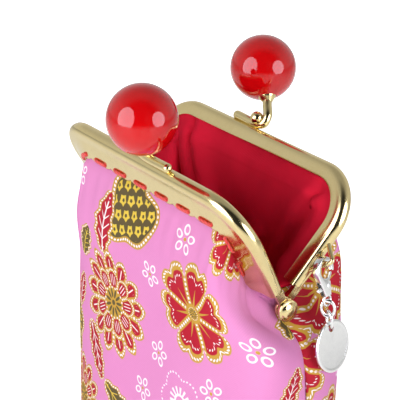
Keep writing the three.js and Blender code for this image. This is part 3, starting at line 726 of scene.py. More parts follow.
def column_points(half, fraction, lines, loose):
    """Rim, exit and knee of one column of cloth, and the points that it falls through."""
    reach = half.end - SEAM_START
    place = reach * (1 - 2 * fraction)
    held = float(smooth(reach - abs(place), 0.0, SEAM_REACH))

    def past_corner(low, high):
        return float(smooth(abs(place), half.bar_half + low, half.bar_half + high))

    def in_channel(depth, out):
        lean = FLANGE_LEAN * max(min(depth, EXIT_DEPTH) - CHANNEL_LEAN_START, 0.0)
        return np.array(half.on_row(place, depth, out - lean))

    rim = in_channel(HINGE_RIM_DEPTH + (RIM_DEPTH - HINGE_RIM_DEPTH) * held, CLOTH_MIDDLE)
    drop = np.array((0.0, 0.0, -1.0))
    leave = between(rim + drop * SEAM_DROP, in_channel(EXIT_DEPTH, CLOTH_MIDDLE), held)
    knee = between(rim + drop * (SEAM_DROP + KNEE_DROP), in_channel(EXIT_DEPTH + KNEE_DROP, KNEE_OUT), held)
    at_corner = held * past_corner(-CORNER_SPREAD, CORNER_SPREAD)
    sideways = np.array((math.copysign(at_corner, place), 0.0, 0.0))
    knee = knee + CORNER_KNEE * sideways + half.outward() * CORNER_KNEE_OUT * at_corner
    body = [evenly(line, [fraction])[0] for line in lines]
    bulge = half.outward() * half.bulge * held
    swell = between(knee, body[0], SWELL_PLACE + SWELL_HELD * held) + bulge - CORNER_PULL * sideways
    if loose:
        free = held * (1 - past_corner(*LINING_FREE))
        hang = between(leave, body[1], LINING_HANG)
        hang[1] = leave[1] * half.hang
        low = between(leave, body[1], LINING_LOW)
        low[1] = leave[1] * (half.hang + LINING_LOW_OUT)
        leave = between(leave, in_channel(EXIT_DEPTH - LINING_LEAVE, CLOTH_MIDDLE), held)
        depth = EXIT_DEPTH + LINING_KNEE * (1 - at_corner)
        knee = between(knee, in_channel(depth, KNEE_OUT), held)
        knee = between(knee, in_channel(depth, LINING_KNEE_OUT), free)
        swell = between(swell - bulge * LINING_PULL, hang, free)
        body[0] = between(body[0], low, free)
    edge = body[-1] - np.array((0.0, SECTIONS[-1][4], 0.0))
    edge = edge * (1 - BASE_TUCK / math.hypot(edge[0], edge[1]))
    edge[2] = PANEL_CLOTH + PLY_GAP / 2
    return np.array([rim, leave, knee, swell, *body, edge]), held


def cloth_columns(loose, count):
    """Every column of the middle surface, from the right seam round the front, the left and the back."""
    points, held, ways = [], [], []
    lines = {half: [section_line(s, half.side) for s in SECTIONS] for half in (FRONT, BACK)}
    for half, twin in ((FRONT, BACK), (BACK, FRONT)):
        for i in range(count):
            fraction = i / count if half is FRONT else 1 - i / count
            own, hold = column_points(half, fraction, lines[half], loose)
            other, _ = column_points(twin, fraction, lines[twin], loose)
            near = min(fraction, 1 - fraction) * ROUND / 2
            share = 0.5 * (1 - float(smooth(near, 0.0, SEAM_MEET)))
            points.append(own * (1 - share) + other * share)
            held.append(hold)
            ways.append(half.outward())
    return np.array(points), np.array(held), np.array(ways)


def middle_surface(loose, count):
    """The middle surface as rows down each column, without its base."""
    points, held, ways = cloth_columns(loose, count)
    rim, leave, knee = points[:, 0], points[:, 1], points[:, 2]
    rows = [between(rim, leave, t) for t in np.linspace(0.0, RIM_SHARE, RIM_ROWS)]
    fall = np.stack([evenly(line, FALL) for line in through(points[:, 2:], 18)])
    start, turn = rows[-1], between(leave, knee, BEND_TURN)
    for t in np.linspace(0.0, 1.0, BEND_ROWS + 2)[1:-1]:
        rows.append((1 - t) ** 2 * start + 2 * t * (1 - t) * turn + t * t * knee)
    return np.concatenate([np.stack(rows, axis=1), fall], axis=1), held, ways


def outward_normals(surface, held, ways):
    round_it = np.roll(surface, -1, axis=0) - np.roll(surface, 1, axis=0)
    normals = unit(np.cross(round_it, np.gradient(surface, axis=1)))
    normals[:, :RIM_ROWS] = between(normals[:, :RIM_ROWS], ways[:, None], held[:, None, None])
    normals[:, -1] = (0.0, 0.0, -1.0)
    return unit(normals)


def fold(place_round, place, width, top, bottom, height):
    """A soft fold straight down the bag."""
    turn = place_round[:, None] - place
    away = (turn - np.round(turn)) / width
    part = np.clip((ROW_FALL - top) / (bottom - top), 0.0, 1.0)
    return height * np.exp(-(away**2)) * np.sin(math.pi * part)


def drawn_fold(across, down, x0, y0, x1, y1, left, right, height):
    """A fold along a line on the cloth, steeper where it spreads less."""
    run = math.hypot(x1 - x0, y1 - y0)
    way = ((x1 - x0) / run, (y1 - y0) / run)
    beside = (across - x0 + ROUND / 2) % ROUND - ROUND / 2
    part = np.clip((beside * way[0] + (down - y0) * way[1]) / run, 0.0, 1.0)
    away = beside * way[1] - (down - y0) * way[0]
    spread = np.where(away < 0, left, right)
    return height * np.exp(-((away / spread) ** 2)) * np.sin(math.pi * part)


def draped_middle(count, loose=False):
    """The middle surface with its soft folds; a loose one stays inside the tight one."""
    surface, held, ways = middle_surface(loose, count)
    if loose:
        tight, held, ways = middle_surface(False, count)
        away = outward_normals(tight, held, ways)
        outside = np.maximum(np.sum((surface - tight) * away, axis=-1), 0.0)
        surface = surface - away * outside[..., None]
    place_round = np.arange(len(surface)) / len(surface)
    swell = sum(fold(place_round, *row) for row in FOLDS)
    surface = surface + outward_normals(surface, held, ways) * swell[..., None]
    return surface, outward_normals(surface, held, ways), held, place_round


def add_base(sheet, centre):
    """Adds rows that run in under the base to its middle."""
    steps = np.linspace(0.0, 1.0, BASE_ROWS + 1)[1:]
    base = between(sheet[:, -1:], np.array(centre), steps[:, None])
    return np.concatenate([sheet, base], axis=1)


def down_the_cloth(sheet):
    """Distances down each column of a sheet, counted so that every column has the same at the base's edge."""
    steps = np.linalg.norm(np.diff(sheet, axis=1), axis=-1)
    length = np.concatenate([np.zeros((len(sheet), 1)), np.cumsum(steps, axis=1)], axis=1)
    base_edge = len(ROW_FALL) - 1
    return length + PANEL_DROP - length[:, base_edge : base_edge + 1]


def cloth_piece(name, sheet, across, closed, start=0.0):
    """Bends a flat grid to a sheet's columns, with the distances along the cloth as its map."""
    bm = bmesh.new()
    count, rows = sheet.shape[:2]
    columns = flat_grid(bm, count if closed else count - 1, rows - 1)
    length = down_the_cloth(sheet) + start
    layer = bm.loops.layers.uv.active
    for i, column in enumerate(columns):
        for j, vert in enumerate(column):
            vert.co = sheet[i % count, j]
            for loop in vert.link_loops:
                loop[layer].uv = (across[i] / MAP_UNIT, length[i % count, j] / MAP_UNIT)
    bmesh.ops.remove_doubles(bm, verts=bm.verts, dist=1e-4)
    bm.normal_update()
    middle = Vector((0.0, 0.0, HINGE_HEIGHT / 2))
    if sum(face.normal.dot(face.calc_center_median() - middle) for face in bm.faces) < 0:
        bmesh.ops.reverse_faces(bm, faces=bm.faces)
    return finished(bm, name, sharp=CLOTH_SHARP, outward=False)


def walled(piece, thickness):
    """Gives a sheet its thickness, towards the inside of the bag."""
    wall = piece.modifiers.new("cloth thickness", "SOLIDIFY")
    wall.thickness = thickness * MM
    wall.offset = -1.0
    wall.use_even_offset = False
    wall.use_rim = True


# Operators


class PURSE_OT_frame_halves(bpy.types.Operator):
    """Make the two scalloped frame halves with their stems, ears and charm loop"""

    bl_idname = "purse.frame_halves"
    bl_label = "Frame halves"

    def execute(self, context):
        for name, half in (("front_frame", FRONT), ("back_frame", BACK)):
            settle(frame_half(f"{name}_gilt", half), "purse", name, gold_plate())
        return {"FINISHED"}


class PURSE_OT_rivets(bpy.types.Operator):
    """Make the two domed hinge rivets"""

    bl_idname = "purse.rivets"
    bl_label = "Hinge rivets"

    def execute(self, context):
        for side, mirror in (("right", 1), ("left", -1)):
            bm = bmesh.new()
            place = Matrix.Translation((mirror * HINGE_HALF_SPAN, 0.0, HINGE_HEIGHT))
            spun(bm, RIVET_OUTLINE, 48, place @ Matrix.Rotation(mirror * QUARTER, 4, "Y"))
            settle(finished(bm, f"rivet_{side}"), "purse", f"hinge_rivet_{side}", gold_plate())
        return {"FINISHED"}


class PURSE_OT_balls(bpy.types.Operator):
    """Make the two glossy clasp balls, bored for their stems"""

    bl_idname = "purse.balls"
    bl_label = "Clasp balls"

    def execute(self, context):
        start = math.asin(BORE_MOUTH / BALL_RADIUS)
        mouth = -BALL_RADIUS * math.cos(start) + BORE_LIP
        outline = [(0.0, -BORE_END), (BORE_RADIUS, -BORE_END), (BORE_RADIUS, mouth)]
        outline += arc((0.0, 0.0), BALL_RADIUS, start + BORE_LIP_TURN - QUARTER, QUARTER, 43)
        outline[-1] = (0.0, BALL_RADIUS)
        for name, half in (("front_ball", FRONT), ("back_ball", BACK)):
            bm = bmesh.new()
            spun(bm, outline, 72, upright(*clasp_axis(half)))
            settle(finished(bm, f"{name}_gloss"), "purse", name, red_gloss())
        return {"FINISHED"}


class PURSE_OT_panels(bpy.types.Operator):
    """Make the printed front and back panels as thick cloth sewn at the sides"""

    bl_idname = "purse.panels"
    bl_label = "Printed panels"

    def execute(self, context):
        cloth = context.scene.purse_cloth
        surface, normals, held, _ = draped_middle(COLUMNS)
        part = np.linspace(0.0, 1.0, COLUMNS + 1)
        near_seam = np.minimum(part, 1 - part) * ROUND / 2
        valley = cloth.seam_valley / MM * np.exp(-((near_seam / SEAM_VALLEY_WIDTH) ** 2))
        valley = valley[:, None] * smooth(ROW_FALL, *VALLEY_START)
        under_frame = smooth(ROW_FALL, *PUCKER_START) * (1 - smooth(ROW_FALL, *PUCKER_END))
        for name, first, half in (("front_panel", 0, FRONT), ("back_panel", COLUMNS, BACK)):
            order = (first + np.arange(COLUMNS + 1)) % len(surface)
            place = (half.end - SEAM_START) * (1 - 2 * part)[:, None]
            pucker = -cloth.gather / MM * np.cos(hole_turn(place)) * under_frame
            ripple = RIPPLE * np.sin(place * RIPPLE_ACROSS + RIPPLE_DOWN * ROW_FALL)
            ripple = ripple * smooth(ROW_FALL, *RIPPLE_START)
            lift = PLY_GAP / 2 + PANEL_CLOTH + (pucker + ripple) * held[order, None] - valley
            sheet = surface[order] + normals[order] * lift[..., None]
            nudge = half.side * PLY_GAP / 2
            sheet[[0, -1], :, 1] += nudge
            sheet = add_base(sheet, (0.0, BASE_SEAM_BOW + nudge, 0.0))
            shift = PRINT_SHIFT if half is BACK else (0.0, 0.0)
            across = (part - 0.5) * half.side * ROUND / 2 + shift[0]
            piece = cloth_piece(f"{name}_print", sheet, across, False, shift[1])
            walled(piece, PANEL_CLOTH)
            settle(piece, "purse", name, printed_cotton())
        return {"FINISHED"}


class PURSE_OT_lining(bpy.types.Operator):
    """Make the red lining with the loose folds of its cloth"""

    bl_idname = "purse.lining"
    bl_label = "Lining"

    def press(self, sheet):
        """Softens the cloth below the frame: a little all over, more where it leaves the channel."""
        free = RIM_ROWS + 2
        for turn in range(LINING_PRESS):
            if turn < LINING_PRESS_ROUND:
                beside = np.roll(sheet, 1, axis=0) + np.roll(sheet, -1, axis=0)
                sheet[:, free:-1] = (beside + 2 * sheet)[:, free:-1] / 4
            last = sheet.shape[1] - 1 if turn < LINING_PRESS_ALL else free + LINING_PRESS_ROWS
            pressed = (sheet[:, :-2] + sheet[:, 2:] + 2 * sheet[:, 1:-1]) / 4
            sheet[:, free:last] = pressed[:, free - 1 : last - 1]

    def execute(self, context):
        surface, normals, _, place_round = draped_middle(LINING_COLUMNS, loose=True)
        round_it = place_round[:, None]
        down = down_the_cloth(surface)
        inward = sum(drawn_fold(round_it * ROUND, down, *row) for row in LINING_FOLDS)
        turn = round_it * math.tau * LINING_RIPPLES + LINING_RIPPLE_DOWN * ROW_FALL
        soft = LINING_RIPPLE + LINING_RIPPLE * np.sin(turn)
        soft = soft * smooth(ROW_FALL, *LINING_RIPPLE_START)
        inward = inward + soft * (1 - smooth(ROW_FALL, *LINING_RIPPLE_END))
        sheet = surface - normals * (PLY_GAP / 2 + inward)[..., None]
        self.press(sheet)
        sheet = add_base(sheet, (0.0, 0.0, PANEL_CLOTH + PLY_GAP))
        across = np.linspace(0.0, ROUND, len(sheet) + 1)
        piece = cloth_piece("lining_cotton", sheet, across, True)
        walled(piece, LINING_CLOTH)
        settle(piece, "purse", "lining", lining_cotton())
        return {"FINISHED"}


class PURSE_OT_stitching(bpy.types.Operator):
    """Sew the cloth to the frame with running stitches through the holes"""

    bl_idname = "purse.stitching"
    bl_label = "Running stitches"

    def execute(self, context):
        thick = context.scene.purse_cloth.thread_radius / MM
        holes = hole_places()
        first = round((holes[0] - STITCH_PHASE) / HOLE_PITCH - 0.5)
        face = FLANGE_FACE - flange_lean(ROW_DEPTH)
        for name, half in (("front_stitching", FRONT), ("back_stitching", BACK)):
            bm = bmesh.new()
            for i, (start, stop) in enumerate(zip(holes, holes[1:])):
                if (first + i) % 2:
                    continue
                depth = ROW_DEPTH + STITCH_STRAY * math.sin(STITCH_STRAY_TURN * i)
                rise = through(STITCH_RISE, 5)
                path = [half.on_row(between(start, stop, part), depth, face + out) for part, out in rise]
                rod(bm, path, thick, 16, half.outward(), flat=STITCH_FLATNESS)
            settle(finished(bm, name, sharp=THREAD_SHARP), "purse", None, sewing_thread())
        return {"FINISHED"}


def from_pivot(angle, length):
    return (PIVOT[0] + length * math.cos(angle), PIVOT[1] + length * math.sin(angle))


def sector(start, stop, inner, outer):
    """Part of a ring round the lever's pivot, from angles in degrees."""
    start, stop = math.radians(start), math.radians(stop)
    return [from_pivot(start, inner), *arc(PIVOT, outer, start, stop, 14), from_pivot(stop, inner)]


class PURSE_OT_clasp(bpy.types.Operator):
    """Make the trigger clasp: its hooked body and the sprung lever"""

    bl_idname = "purse.clasp"
    bl_label = "Trigger clasp"

    def body(self):
        hook = (0.0, -HOOK_DROP)
        outline = arc(hook, HOOK_OUTER, HOOK_TIP, HOOK_BACK, 34)
        outline += [(-CLASP_NECK, CLASP_END), (CLASP_NECK, CLASP_END)]
        outline += arc(hook, HOOK_OUTER, HOOK_SHOULDER, HOOK_SHOULDER, 0)
        outline += arc(hook, HOOK_INNER, HOOK_SHOULDER, HOOK_TIP - math.tau, 30)
        piece = flat_piece("clasp_hook", outline, CLASP_HALF, bevel=CLASP_BEVEL, segments=3)
        slot = LEVER_HALF + CLEARANCE
        cut_away(piece, flat_piece("cutter", sector(*GATE_WAY), CUT_THROUGH))
        hub_slot = circle(PIVOT, LEVER_HUB + CLEARANCE, 28)
        for way in (sector(*GATE_SLOT), sector(*TAB_SLOT), hub_slot):
            cut_away(piece, flat_piece("cutter", way, slot))
        bm = reopened(piece)
        sideways = Matrix.Rotation(QUARTER, 4, "Y")
        pin = [(distance, -place) for distance, place in reversed(PIN_END)] + list(PIN_END)
        spun(bm, pin, 24, Matrix.Translation((0.0, *PIVOT)) @ sideways)
        eye = ring_outline((EYE_RADIUS + EYE_HOLE) / 2, (EYE_RADIUS - EYE_HOLE) / 2, EYE_HALF)
        spun(bm, eye, 32, Matrix.Translation((0.0, 0.0, EYE_DROP)) @ sideways)
        return hung(bm, "clasp_body_bright")

    def lever(self):
        spread = math.asin(LEVER_ARM / LEVER_HUB)
        arms = ((GATE_ANGLE, GATE_LENGTH, TAB_ANGLE), (TAB_ANGLE, TAB_LENGTH, GATE_ANGLE + math.tau))
        outline = []
        for angle, length, other in arms:
            end = from_pivot(angle, length - LEVER_ARM)
            outline += arc(end, LEVER_ARM, angle - QUARTER, angle + QUARTER, 12)
            outline += arc(PIVOT, LEVER_HUB, angle + spread, other - spread, 14)
        piece = flat_piece("lever_blank", outline, LEVER_HALF, bevel=LEVER_BEVEL)
        cut_away(piece, flat_piece("cutter", circle(PIVOT, PIVOT_RADIUS + CLEARANCE, 24), CUT_THROUGH / 2))
        return hung(reopened(piece), "clasp_lever_bright")

    def execute(self, context):
        settle(self.body(), "purse", "clasp_body", silver_plate())
        settle(self.lever(), "lever", "clasp_lever", silver_plate())
        return {"FINISHED"}


class PURSE_OT_charm(bpy.types.Operator):
    """Make the two wire links and the plain disc that hang from the clasp"""

    bl_idname = "purse.charm"
    bl_label = "Charm"

    def link(self, name, drop, turn):
        bm = bmesh.new()
        place = Matrix.Translation((0.0, 0.0, drop)) @ Matrix.Rotation(turn, 4, "Z")
        place = place @ Matrix.Rotation(QUARTER, 4, "X")
        place = place @ Matrix.Diagonal((1.0, LINK_HALF_HEIGHT / LINK_HALF_WIDTH, 1.0, 1.0))
        spun(bm, ring_outline(LINK_HALF_WIDTH, LINK_WIRE, LINK_WIRE), 40, charm_place() @ place)
        return finished(bm, f"{name}_wire")

    def disc(self, hole):
        """A turned disc with a raised rim, drilled near its edge."""
        outline = list(DISC_FACE) + [(distance, -height) for distance, height in reversed(DISC_FACE)]
        bm = bmesh.new()
        drop = hole - DISC_RADIUS + DISC_HOLE + DISC_EDGE
        spun(bm, outline, 72, Matrix.Translation((0.0, 0.0, drop)) @ Matrix.Rotation(QUARTER, 4, "Y"))
        piece = finished(bm, "disc_blank")
        cut_away(piece, flat_piece("cutter", circle((0.0, hole), DISC_HOLE, 28), CUT_THROUGH / 2))
        return hung(reopened(piece), "charm_disc_bright")

    def execute(self, context):
        first = EYE_DROP - LINK_SEAT - LINK_HALF_HEIGHT
        second = first - 2 * (LINK_HALF_HEIGHT - LINK_WIRE - CLEARANCE)
        links = (("charm_link_upper", first, LINK_TURN), ("charm_link_lower", second, -LINK_TURN))
        for name, drop, turn in links:
            settle(self.link(name, drop, turn), "purse", name, silver_plate())
        hole = second - LINK_HALF_HEIGHT - LINK_SEAT
        settle(self.disc(hole), "purse", "charm_disc", silver_plate())
        return {"FINISHED"}


class PURSE_OT_stage(bpy.types.Operator):
    """Set the pale floor, the soft lights and the camera"""

    bl_idname = "purse.stage"
    bl_label = "Stage"

    def stand(self, name, data):
        holder = bpy.data.objects.new(name, data)
        bpy.context.scene.collection.objects.link(holder)
        return holder

    def floor(self):
        bm = bmesh.new()
        bmesh.ops.create_grid(bm, x_segments=1, y_segments=1, size=FLOOR_HALF)
        mesh = bpy.data.meshes.new("floor")
        bm.to_mesh(mesh)
        bm.free()
        mesh.materials.append(pale_floor())
        floor = self.stand("floor", mesh)

    def light(self, name, way, away, size, power, mirrored=False):
        """A soft light on the purse; a mirrored one shows in gloss alone, the others in matte alone."""
        lamp = bpy.data.lights.new(name, "AREA")
        lamp.shape = "ELLIPSE"
        lamp.size, lamp.size_y = size
        lamp.energy = power
        lamp.color = GLEAM_TINT if mirrored else WHITE
        holder = self.stand(name, lamp)
        holder.visible_glossy = mirrored
        holder.visible_diffuse = not mirrored
        turn = (-way).to_track_quat("-Z", "Y").to_matrix().to_4x4()
        holder.matrix_world = Matrix.Translation(LIT_POINT + way * away) @ turn

    def camera(self, right, up, lens):
        view = bpy.data.cameras.new("camera")
        view.lens = lens
        view.sensor_width = 36.0
        view.clip_start = 0.01
        across = right * math.cos(CAMERA_ROLL) + up * math.sin(CAMERA_ROLL)
        upwards = up * math.cos(CAMERA_ROLL) - right * math.sin(CAMERA_ROLL)
        holder = self.stand("camera", view)
        turn = Matrix((across, upwards, -CAMERA_AHEAD)).transposed().to_4x4()
        holder.matrix_world = Matrix.Translation(CAMERA_PLACE) @ turn
        bpy.context.scene.camera = holder

    def surround(self, strength):
        """A white studio that is dark behind the camera and dimmer overhead."""
        world = bpy.data.worlds.new("studio")
        world.use_nodes = True
        way = add(world.node_tree, "ShaderNodeTexCoord", out="Generated")
        dark = step(vector_node("DOT_PRODUCT", way, -CAMERA_AHEAD, out=1), *DARK_BEHIND)
        above = step(split(way)[2], *DIM_ABOVE) * ABOVE_SHARE
        fade = above | light_path(world.node_tree)["Is Diffuse Ray"]
        background = world.node_tree.nodes["Background"].inputs
        feed(background["Color"], mix(fade, mix(dark, WHITE, DIM), DIM))
        feed(background["Strength"], strength)
        bpy.context.scene.world = world

    def execute(self, context):
        stage = context.scene.purse_stage
        self.floor()
        right = CAMERA_AHEAD.cross((0.0, 0.0, 1.0)).normalized()
        up = right.cross(CAMERA_AHEAD)
        # Name, swing from the camera in degrees, width and height, power, mirrored
        boxes = (
            ("left softbox", 50.0, (0.92, 1.17), stage.left_power, False),
            ("left gleam", 50.0, (0.92, 1.17), stage.gleam, True),
            ("right softbox", -30.0, (0.69, 0.72), stage.right_power, False),
            ("right gleam", -53.0, (0.69, 0.72), stage.gleam / 2, True),
        )
        for name, swing, size, power, mirrored in boxes:
            way = Matrix.Rotation(math.radians(-swing), 4, up) @ -CAMERA_AHEAD
            self.light(name, way, GLEAM_AWAY if mirrored else SOFTBOX_AWAY, size, power, mirrored)
        over = Vector((-CAMERA_AHEAD.x, -CAMERA_AHEAD.y, OVERHEAD_RISE)).normalized()
        self.light("overhead", over, OVERHEAD_AWAY, OVERHEAD_SIZE, stage.top_power)
        behind = Vector((CAMERA_AHEAD.x, CAMERA_AHEAD.y, BEHIND_RISE)).normalized()
        self.light("back softbox", behind, BEHIND_AWAY, BEHIND_SIZE, stage.back_power)
        self.camera(right, up, stage.lens)
        self.surround(stage.surround)
        context.scene.view_settings.view_transform = "Standard"
        return {"FINISHED"}


# Nodes

VALUE, VECTOR, COLOUR = "NodeSocketFloat", "NodeSocketVector", "NodeSocketColor"


def arithmetic(operation, swapped=False):
    """A method of Wire for one operation of the math node."""

    def method(self, *other):
        return math_node(operation, *((*other, self) if swapped else (self, *other)))

    return method


class Wire:
    """A node's output. Sums, products and the like of wires add nodes; | is the larger of two masks."""

    def __init__(self, socket):
        self.socket = socket

    __add__ = __radd__ = arithmetic("ADD")
    __mul__ = __rmul__ = arithmetic("MULTIPLY")
    __sub__ = arithmetic("SUBTRACT")
    __rsub__ = arithmetic("SUBTRACT", swapped=True)
    __truediv__ = arithmetic("DIVIDE")
    __rtruediv__ = arithmetic("DIVIDE", swapped=True)
    __pow__ = arithmetic("POWER")
    __or__ = arithmetic("MAXIMUM")
    __abs__ = arithmetic("ABSOLUTE")


def feed(socket, value):
    """Joins a wire to a socket, or sets the socket to a plain value."""
    if isinstance(value, Wire):
        socket.id_data.links.new(value.socket, socket)
    elif hasattr(socket.default_value, "__len__"):
        wide = len(socket.default_value)
        value = tuple(value) if hasattr(value, "__len__") else (value,) * 3
        socket.default_value = (value + (1.0,))[:wide] if wide == 4 else value[:wide]
    else:
        socket.default_value = value


def add(tree, kind, *values, out=0, **choices):
    """Adds a node with its choices and inputs, and hands back one of its outputs."""
    node = tree.nodes.new(kind)
    for name, choice in choices.items():
        setattr(node, name, choice)
    for socket, value in zip(node.inputs, values):
        if value is not None:
            feed(socket, value)
    return Wire(node.outputs[out])


def tree_of(*values):
    return next(value.socket.id_data for value in values if isinstance(value, Wire))


def wires(node):
    return {socket.name: Wire(socket) for socket in node.outputs}


def math_node(operation, *values):
    return add(tree_of(*values), "ShaderNodeMath", *values, operation=operation)


def vector_node(operation, *values, out=0):
    return add(tree_of(*values), "ShaderNodeVectorMath", *values, operation=operation, out=out)


def light_path(tree):
    return wires(add(tree, "ShaderNodeLightPath").socket.node)


def split(place):
    """The three parts of a place."""
    return list(wires(add(tree_of(place), "ShaderNodeSeparateXYZ", place).socket.node).values())


def length_of(place):
    return vector_node("LENGTH", place, out=1)


def hypot(first, second):
    return math_node("SQRT", first * first + second * second)


def sine(angle):
    return math_node("SINE", angle)


def cosine(angle):
    return math_node("COSINE", angle)


def fract(value):
    return math_node("FRACT", value)


def zigzag(value, height):
    return math_node("PINGPONG", value, height)


def noise(place, scale, detail, roughness=0.5):
    return add(tree_of(place), "ShaderNodeTexNoise", place, None, scale, detail, roughness)


def step(value, low, high):
    """0 at low and 1 at high, smooth between; low may be the higher one."""
    ends = (low, high, 0.0, 1.0) if low < high else (high, low, 1.0, 0.0)
    return add(tree_of(value), "ShaderNodeMapRange", value, *ends, interpolation_type="SMOOTHSTEP")


def mix(amount, first, second):
    values = (amount, None, None, None, None, None, first, second)
    return add(tree_of(*values), "ShaderNodeMix", *values, out=2, data_type="RGBA")


def bumped(height, strength, distance):
    made = add(tree_of(height), "ShaderNodeBump", strength, distance)
    feed(made.socket.node.inputs["Height"], height)
    return made


def build_group(name, inputs, outputs, draw):
    tree = bpy.data.node_groups.new(name, "ShaderNodeTree")
    for way, sockets in (("INPUT", inputs), ("OUTPUT", outputs)):
        for label, kind in sockets.items():
            tree.interface.new_socket(name=label, in_out=way, socket_type=kind)
    given = tree.nodes.new("NodeGroupInput")
    made = tree.nodes.new("NodeGroupOutput")
    for label, value in draw(wires(given)).items():
        feed(made.inputs[label], value)
    return tree


def shared_group(name, inputs, outputs):
    """Turns a function that draws a group of nodes into one that places the group, built once."""

    def turned(draw):
        def place(**values):
            group = bpy.data.node_groups.get(name) or build_group(name, inputs, outputs, draw)
            node = tree_of(*values.values()).nodes.new("ShaderNodeGroup")
            node.node_tree = group
            for label, value in values.items():
                feed(node.inputs[label], value)
            return wires(node)

        return place

    return turned


def material(name):
    """Turns a function that draws the shader's inputs into one that hands back the material, made once."""

    def turned(draw):
        def made_once():
            made = bpy.data.materials.get(name)
            if made is None:
                made = bpy.data.materials.new(name)
                made.use_nodes = True
                shader = made.node_tree.nodes["Principled BSDF"].inputs
                for label, value in draw(made.node_tree).items():
                    feed(shader[label], value)
            return made

        return made_once

    return turned


# Finishes


@shared_group("Cotton weave", {"Place": VECTOR, "Pitch": VALUE}, {"Height": VALUE, "Shade": VALUE})
def cotton_weave(given):
    """Crossed threads of plain cloth, from places in millimetres."""
    x, y, _ = split(given["Place"])
    lines = []
    for along, beside in ((x, y), (y, x)):
        along = along / given["Pitch"] + noise(given["Place"], 0.7, 1.0) * 0.6
        wave = sine(beside / given["Pitch"] * math.pi + math_node("FLOOR", along) * math.pi)
        lines.append(sine(fract(along) * math.pi) * (wave * 0.5 + 0.5))
    height = lines[0] | lines[1]
    # Shade is high on the threads' tops and low between them: the cloth materials paint shade between the
    # threads with it, and its noise adds a random mottle of the cotton
    return {"Height": height, "Shade": height * noise(given["Place"], 0.9, 3.0)}


@shared_group("Handled metal", {"Place": VECTOR}, {"Rub": VALUE, "Scratch": VALUE})
def handled_metal(given):
    """Fine rubbing and scratches of a handled surface, from object places in metres."""
    grain = noise(given["Place"], 900.0, 4.0, 0.6)
    cloud = noise(given["Place"], 70.0, 3.0)
    hair = noise(vector_node("MULTIPLY", given["Place"], (2600.0, 160.0, 160.0)), 1.0, 2.0)
    return {"Rub": cloud * 0.6 + grain * 0.4, "Scratch": step(hair, 0.66, 0.72)}


def object_place(tree):
    return add(tree, "ShaderNodeTexCoord", out="Object")


def cloth_place(tree):
    """Places on the cloth in millimetres, from its map."""
    return vector_node("MULTIPLY", add(tree, "ShaderNodeTexCoord", out="UV"), (MAP_UNIT, MAP_UNIT, 0.0))


def plated(tree, tint, shade, roughness):
    wear = handled_metal(Place=object_place(tree))
    rubbed = step(wear["Rub"], 0.35, 0.68)
    return {
        "Base Color": mix(rubbed * 0.5, tint, shade),
        "Roughness": wear["Scratch"] * 0.08 + (rubbed * 0.05 + roughness),
        "Metallic": 1.0,
        "Normal": bumped(wear["Scratch"], 0.05, 0.00002),
    }


@material("Gold plate")
def gold_plate(tree):
    finish = bpy.context.scene.purse_finish
    return plated(tree, finish.gold, finish.gold_shade, finish.gold_roughness)


@material("Silver plate")
def silver_plate(tree):
    finish = bpy.context.scene.purse_finish
    return plated(tree, finish.silver, finish.silver_shade, finish.silver_roughness)


@material("Red gloss")
def red_gloss(tree):
    finish = bpy.context.scene.purse_finish
    place = object_place(tree)
    cloud = noise(place, 120.0, 3.0)
    return {
        "Base Color": mix(cloud, finish.ball, finish.ball_shade),
        "Roughness": handled_metal(Place=place)["Scratch"] * 0.12 + (cloud * 0.04 + 0.06),
        "Coat Weight": 0.65,
        "Coat Roughness": 0.02,
        "Specular IOR Level": 0.2,
        "Normal": bumped(cloud, 0.02, 0.0001),
    }


@material("Red cotton")
def lining_cotton(tree):
    cloth = bpy.context.scene.purse_cloth
    place = cloth_place(tree)
    weave = cotton_weave(Place=place, Pitch=cloth.weave_pitch / MM)
    # Painted shade: the lining turns to its shade colour between the threads, mixed with a random mottle of
    # the cotton
    colour = mix(weave["Shade"] * 0.9, cloth.lining_shade, cloth.lining)
    return {
        "Base Color": mix(step(noise(place, 0.06, 3.0), 0.35, 0.75), colour, cloth.lining),
        "Roughness": weave["Height"] * -0.1 + 0.85,
        "Specular IOR Level": 0.06,
        "Normal": bumped(weave["Height"], 0.35, 0.00008),
    }


@material("Coral thread")
def sewing_thread(tree):
    cloth = bpy.context.scene.purse_cloth
    round_it, along, _ = split(add(tree, "ShaderNodeTexCoord", out="UV"))
    strand = sine(zigzag(along * 7.0 + round_it * 3.0, 0.5) * math.pi)
    return {
        # Painted shade: the thread darkens to its shade colour between its twisted strands
        "Base Color": mix(strand, cloth.thread_shade, cloth.thread),
        "Roughness": strand * -0.15 + 0.7,
        "Sheen Weight": 0.2,
        "Normal": bumped(strand, 0.8, 0.0002),
    }


@material("Pale floor")
def pale_floor(tree):
    """A white floor that glows like a lit sweep, and shows dimmer in gloss near the purse."""
    place = object_place(tree)
    far = step(length_of(place), 0.08, 0.8)
    ray = light_path(tree)
    glossy = ray["Is Glossy Ray"]
    pale = mix(noise(place, 3.0, 2.0), (0.93, 0.93, 0.93), (0.96, 0.96, 0.96))
    no_glow = glossy * (far * 0.22 + 0.45) | ray["Is Diffuse Ray"] * 0.75
    return {
        "Base Color": mix(glossy * (far * 0.28 + 0.22), pale, BLACK),
        "Roughness": 0.7,
        "Emission Color": mix(no_glow, WHITE, BLACK),
        "Emission Strength": 0.8,
    }


# The print: every motif is drawn in a square from -1 to 1 and says its colour and what it covers

